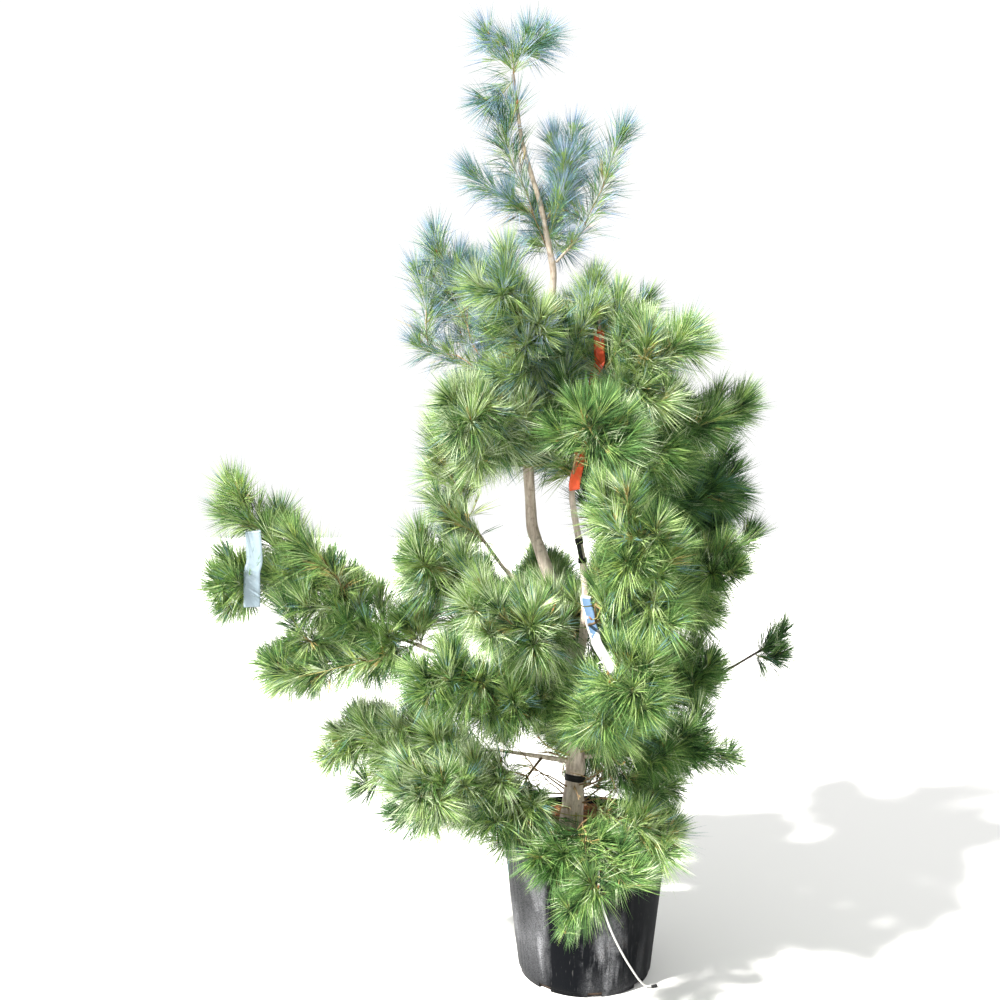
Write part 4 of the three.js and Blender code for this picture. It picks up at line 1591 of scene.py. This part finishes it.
def soil_spot(most, lift):
    """A place on the soil, the distance of which from the middle is at most so much."""
    radius, angle = most * math.sqrt(random.random()), random.random() * 2 * math.pi
    return radius, np.array([radius * math.cos(angle), radius * math.sin(angle), soil_top(radius) + lift])


def add_chip():
    """One chip of bark: a thin box with uneven ends."""
    radius, spot = soil_spot(LITTER_RADIUS, 0.002)
    if radius < TRUNK_ROOM:
        return
    long, wide = random.uniform(0.006, 0.02), random.uniform(0.004, 0.009)
    thick = random.uniform(0.001, 0.003)
    spin, tilt = random.random() * math.pi, random.normal(0.0, 0.25)
    first = np.array([math.cos(spin), math.sin(spin), tilt])
    second = np.array([-math.sin(spin), math.cos(spin), random.normal(0.0, 0.2)])
    up = np.cross(first, second)
    corners = []
    for over in (-1, 1):
        for along, across in BOX_CORNERS:
            corner = spot + first * along * long / 2 * random.uniform(0.75, 1.1)
            corners.append(corner + second * across * wide / 2 + up * over * thick / 2)
    litter.add(corners, BOX_FACES, int(random.integers(0, CHIP_TONES)))


def add_dead_needle():
    """One dead needle: a kite that lies on the soil."""
    _, spot = soil_spot(LITTER_RADIUS - 0.002, 0.0035)
    spin, long = random.random() * 2 * math.pi, random.uniform(0.03, 0.08)
    along = np.array([math.cos(spin), math.sin(spin), random.normal(0.0, 0.06)])
    if np.hypot(*(spot + along * long)[:2]) > LITTER_RADIUS:
        return
    aside = np.array([-math.sin(spin), math.cos(spin), random.normal(0.0, 0.5)]) * 0.0008
    middle = spot + along * long * 0.5 + 0.002 * UP
    corners = [spot, middle - aside, middle + aside, spot + along * long]
    litter.add(corners, [(0, 1, 2), (1, 3, 2)], CHIP_TONES)


for _ in range(CHIPS):
    add_chip()
for _ in range(DEAD_NEEDLES):
    add_dead_needle()
litter_piece = litter.made(
    "soil_litter",
    [
        plain("chip_dark", srgb(58, 40, 28), 0.9),
        plain("chip_brown", srgb(98, 68, 44), 0.9),
        plain("chip_grey", srgb(126, 108, 90), 0.9),
        plain("dead_needle", srgb(168, 106, 58), 0.7),
    ],
    smooth=False,
)
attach(litter_piece, "root")

# ---------------------------------------------------------------- labels, tape and ties
def film_material(name, colour, worn, roughness):
    """Thin printed film, a little creased and worn."""
    g = Graph(name)
    crease = g.noise(1.0, 3.0, 0.6, g.scaled((60.0, 60.0, 180.0)))
    wear = g.noise(130.0, 5.0, 0.7)
    g.colour(g.mix(g.range(wear, 0.58, 0.72, 0.0, 0.7), colour, worn))
    g.roughness(g.range(wear, 0.3, 0.7, roughness, roughness + 0.2))
    g.bump(crease, 0.0009, 0.6)
    return g.material


STRIP_STEP = 0.004
STRIP_STEPS_ACROSS = 6
STRIP_LIFT = 0.0016
NOTCH_SHARE = 0.1


def strip_shape(line, width, thickness, twist, notch=0.0):
    """A thin strip along a line, bent round it a little; twist gives its turn at each share of the length."""
    line = np.asarray(line, float)
    run = np.concatenate([[0.0], np.cumsum(np.linalg.norm(np.diff(line, axis=0), axis=1))])
    rows = max(int(run[-1] / STRIP_STEP), 12)
    at = np.linspace(0.0, run[-1], rows)
    path = np.stack([np.interp(at, run, line[:, axis]) for axis in range(3)], 1)
    for _ in range(4):
        path[1:-1] = (path[:-2] + 2 * path[1:-1] + path[2:]) / 4
    ahead = unit(np.gradient(path, axis=0))
    points, faces = [], []
    for row in range(rows):
        share = row / (rows - 1)
        face = unit(np.cross(ahead[row], [1.0, 0.0, 0.0]))
        across = np.cross(face, ahead[row])
        turn_here = twist(share)
        across, face = (
            across * math.cos(turn_here) + face * math.sin(turn_here),
            face * math.cos(turn_here) - across * math.sin(turn_here),
        )
        for side in (-0.5, 0.5):
            for step in range(STRIP_STEPS_ACROSS + 1):
                place_across = step / STRIP_STEPS_ACROSS - 0.5
                lift = STRIP_LIFT * (1.0 - 4 * place_across**2)
                end_share = max(0.0, share - (1.0 - NOTCH_SHARE)) / NOTCH_SHARE
                slip = notch * (0.5 - abs(place_across)) * end_share
                spot = path[row] + across * place_across * width + face * (side * thickness + lift)
                points.append(spot - ahead[row] * slip)
    side = STRIP_STEPS_ACROSS + 1
    ring = 2 * side
    for row in range(rows - 1):
        low = row * ring
        for step in range(STRIP_STEPS_ACROSS):
            a, b = low + step, low + step + 1
            faces.append((a, a + ring, b + ring, b))
            a, b = low + side + step, low + side + 1 + step
            faces.append((a, b, b + ring, a + ring))
        for a, b in ((low, low + side), (low + ring - 1, low + side - 1)):
            faces.append((a, b, b + ring, a + ring))
    for low, flip in ((0, 1), ((rows - 1) * ring, -1)):
        loop = [low + step for step in range(side)]
        loop += [low + ring - 1 - step for step in range(side)]
        faces.append(tuple(loop[::flip]))
    return np.array(points), faces


def thin_piece(name, materials, *shapes):
    """A piece of thin closed shapes, with all its faces turned outwards."""
    heap = Heap()
    for points, faces in shapes:
        heap.add(points, faces)
    piece = heap.made(name, materials)
    shell = bmesh.new()
    shell.from_mesh(piece.data)
    bmesh.ops.recalc_face_normals(shell, faces=shell.faces)
    shell.to_mesh(piece.data)
    shell.free()
    return piece


LABEL_WHITE = film_material("label_white", srgb(212, 212, 211), srgb(138, 140, 140), 0.35)
LABEL_BLUE = film_material("label_blue", srgb(104, 134, 168), srgb(146, 162, 176), 0.35)
LABEL_PALE = film_material("label_pale", srgb(126, 142, 152), srgb(150, 158, 162), 0.25)
TAPE_ORANGE = film_material("tape_orange", srgb(224, 84, 40), srgb(232, 128, 86), 0.32)
RUBBER = film_material("tie_rubber", srgb(20, 20, 22), srgb(52, 50, 48), 0.6)


BAND_SIDES = 36
BAND_THICK = (0.0014, 0.0016)


def collar(name, height, clear, tall):
    """A band round a stem, square to it."""
    centres, radii = LIMBS[name]
    index = int(np.argmin(np.abs(centres[:, 2] - height)))
    ahead = unit(centres[min(index + 2, len(centres) - 1)] - centres[index - 2])
    section = [(-tall / 2, 0.0), (-tall / 2, BAND_THICK[0]), (tall / 2, BAND_THICK[1]), (tall / 2, 0.0)]
    first, second = (side[0] for side in sides_of(ahead[None]))
    points, faces = [], []
    for side in range(BAND_SIDES):
        angle = 2 * math.pi * side / BAND_SIDES
        out = first * math.cos(angle) + second * math.sin(angle)
        for along, more in section:
            spot = centres[index] + ahead * (along + 0.001 * math.sin(3 * angle))
            points.append(spot + out * (radii[index] + clear + more))
    for side in range(BAND_SIDES):
        low, after = side * 4, (side + 1) % BAND_SIDES * 4
        for corner in range(4):
            follow = (corner + 1) % 4
            faces.append((low + corner, after + corner, after + follow, low + follow))
    return np.array(points), faces


# The functions below give how far a strip is turned at a share of its length, in radians.
def label_twist(share):
    """The hanging label turns a little and back."""
    return 0.12 * math.sin(2.6 * share)


def pale_twist(share):
    """The label on the long bough turns evenly."""
    return 0.1 - 0.25 * share


def tape_twist(share):
    """The tape turns to and fro as it hangs."""
    return 0.45 * math.sin(7.0 * share) - 0.2


def strap_twist(_):
    """The strap between the ties doesn't turn."""
    return 0.0


# The blank label on the second stem: white film, with a blue field on the right of its front.
FILM = 0.0007
LABEL_WIDTH = 0.026
FIELD_LEFT = -0.007
FIELD_TOP, FIELD_FOOT, FIELD_SLANT = 0.012, 0.098, 1.2
label_strip = strip_shape(label_line, LABEL_WIDTH, FILM, label_twist)
label_piece = thin_piece("stem_label", [LABEL_WHITE, LABEL_BLUE], label_strip)
label_top = label_strip[0][:, 2].max()
label_up = label_line[np.argsort(label_line[:, 2])]
for face in label_piece.data.polygons:
    drop = label_top - face.center[2]
    aside = face.center[0] - np.interp(face.center[2], label_up[:, 2], label_up[:, 0])
    if face.normal[1] < -0.3 and aside > FIELD_LEFT and FIELD_TOP < drop < FIELD_FOOT - FIELD_SLANT * aside:
        face.material_index = 1
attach(label_piece, "root")
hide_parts("hang_label")

# The pale film label on the long bough.
PALE_WIDTH = 0.04
pale_strip = strip_shape(strip_line("bough_label"), PALE_WIDTH, FILM, pale_twist)
pale_piece = thin_piece("long_bough_label", [LABEL_PALE], pale_strip)
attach(pale_piece, "root")
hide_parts("bough_label")

# The orange tape: three turns round the second stem, and the end that hangs down it.
TAPE_WIDTH = 0.027
TAPE_THICK = 0.0005
TAPE_NOTCH = 0.05
TAPE_TURNS = (1.643, 1.648, 1.654)
tape_shapes = [strip_shape(tape_line, TAPE_WIDTH, TAPE_THICK, tape_twist, TAPE_NOTCH)]
for index, height in enumerate(TAPE_TURNS):
    tape_shapes.append(collar("second_stem", height, 0.0006 + 0.0008 * index, 0.009))
tape_piece = thin_piece("orange_tape", [TAPE_ORANGE], *tape_shapes)
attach(tape_piece, "root")
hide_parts("marker_tape")

# The black ties: (stem, height, how far off the bark, how tall), and the strap that joins two of them.
TIES = [
    ("trunk", 0.508, 0.0012, 0.017),
    ("second_stem", 1.128, 0.0008, 0.014),
    ("second_stem", 1.072, 0.0008, 0.012),
]
STRAP_WIDTH, STRAP_THICK = 0.011, 0.0016
strap_line = [
    point + np.array([-0.004, -0.0135 - 0.004 * math.sin(math.pi * index / 6.0), 0.0])
    for index, point in enumerate(between("second_stem", 1.072, 1.132)[:6])
]
tie_shapes = [collar(*tie) for tie in TIES] + [strip_shape(strap_line, STRAP_WIDTH, STRAP_THICK, strap_twist)]
ties_piece = thin_piece("rubber_ties", [RUBBER], *tie_shapes)
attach(ties_piece, "root")

# ---------------------------------------------------------------- the drip tube and its plug
# The plug's section as (distance along, radius): a nose, two ribs and a rounded head.
PLUG_SECTION = [
    (0.0, 0.0030), (0.0008, 0.0038), (0.0022, 0.0038), (0.0030, 0.0031), (0.0044, 0.0031),
    (0.0052, 0.0040), (0.0066, 0.0040), (0.0074, 0.0031), (0.0088, 0.0031), (0.0096, 0.0040),
    (0.0136, 0.0040), (0.0152, 0.0034), (0.0158, 0.0018),
]
PLUG_HALF = 0.008
PLUG_SIDES = 24
PLUG_BLACK = film_material("plug_black", srgb(26, 26, 28), srgb(60, 58, 56), 0.45)
TUBE_WHITE = film_material("tube_white", srgb(206, 206, 202), srgb(170, 166, 156), 0.34)


def plug_shape():
    """The end plug, in line with the end of the tube."""
    low, high = (np.array(corner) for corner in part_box("drip_plug"))
    path = smooth_route(DRIP_ROUTE, ROUTE_PIECES)
    along = unit((path[-1] - path[-2]) * LEVEL)
    foot = (low + high) / 2 - along * PLUG_HALF
    return tube_of(
        [foot + along * far for far, _ in PLUG_SECTION],
        [radius for _, radius in PLUG_SECTION],
        PLUG_SIDES,
    )


plug = Heap()
plug.add(*plug_shape())
plug_piece = plug.made("tube_end_plug", [PLUG_BLACK])
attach(plug_piece, "root")
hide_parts("drip_plug")

tube = drip_tube()
tube.data.materials.append(TUBE_WHITE)
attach(tube, "root")
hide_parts("drip_tube")

# ---------------------------------------------------------------- floor and lights
FLOOR_REACH = 9.0
SUN_POWER = 11.5
SUN_SPREAD = math.radians(2.5)
SUN_COLOUR = (1.0, 0.975, 0.93)
SKY_POWER = 1.05

floor_points = np.array([(along, across, 0.0) for along, across in BOX_CORNERS]) * FLOOR_REACH
floor_pale = plain("floor_pale", srgb(238, 238, 236), 0.9, 0.1)
floor = mesh_object("floor", floor_points, [0, 1, 2, 3], [4], [floor_pale])

sun_data = bpy.data.lights.new("key", "SUN")
sun_data.energy = SUN_POWER
sun_data.angle = SUN_SPREAD
sun_data.color = SUN_COLOUR
sun = bpy.data.objects.new("key", sun_data)
sun.rotation_euler = Vector(SUN_WAY).to_track_quat("Z", "Y").to_euler()
scene.collection.objects.link(sun)

world = bpy.data.worlds.new("studio")
scene.world = world
world.use_nodes = True
sky = world.node_tree.nodes["Background"]
sky.inputs["Color"].default_value = (1.0, 1.0, 1.0, 1.0)
sky.inputs["Strength"].default_value = SKY_POWER
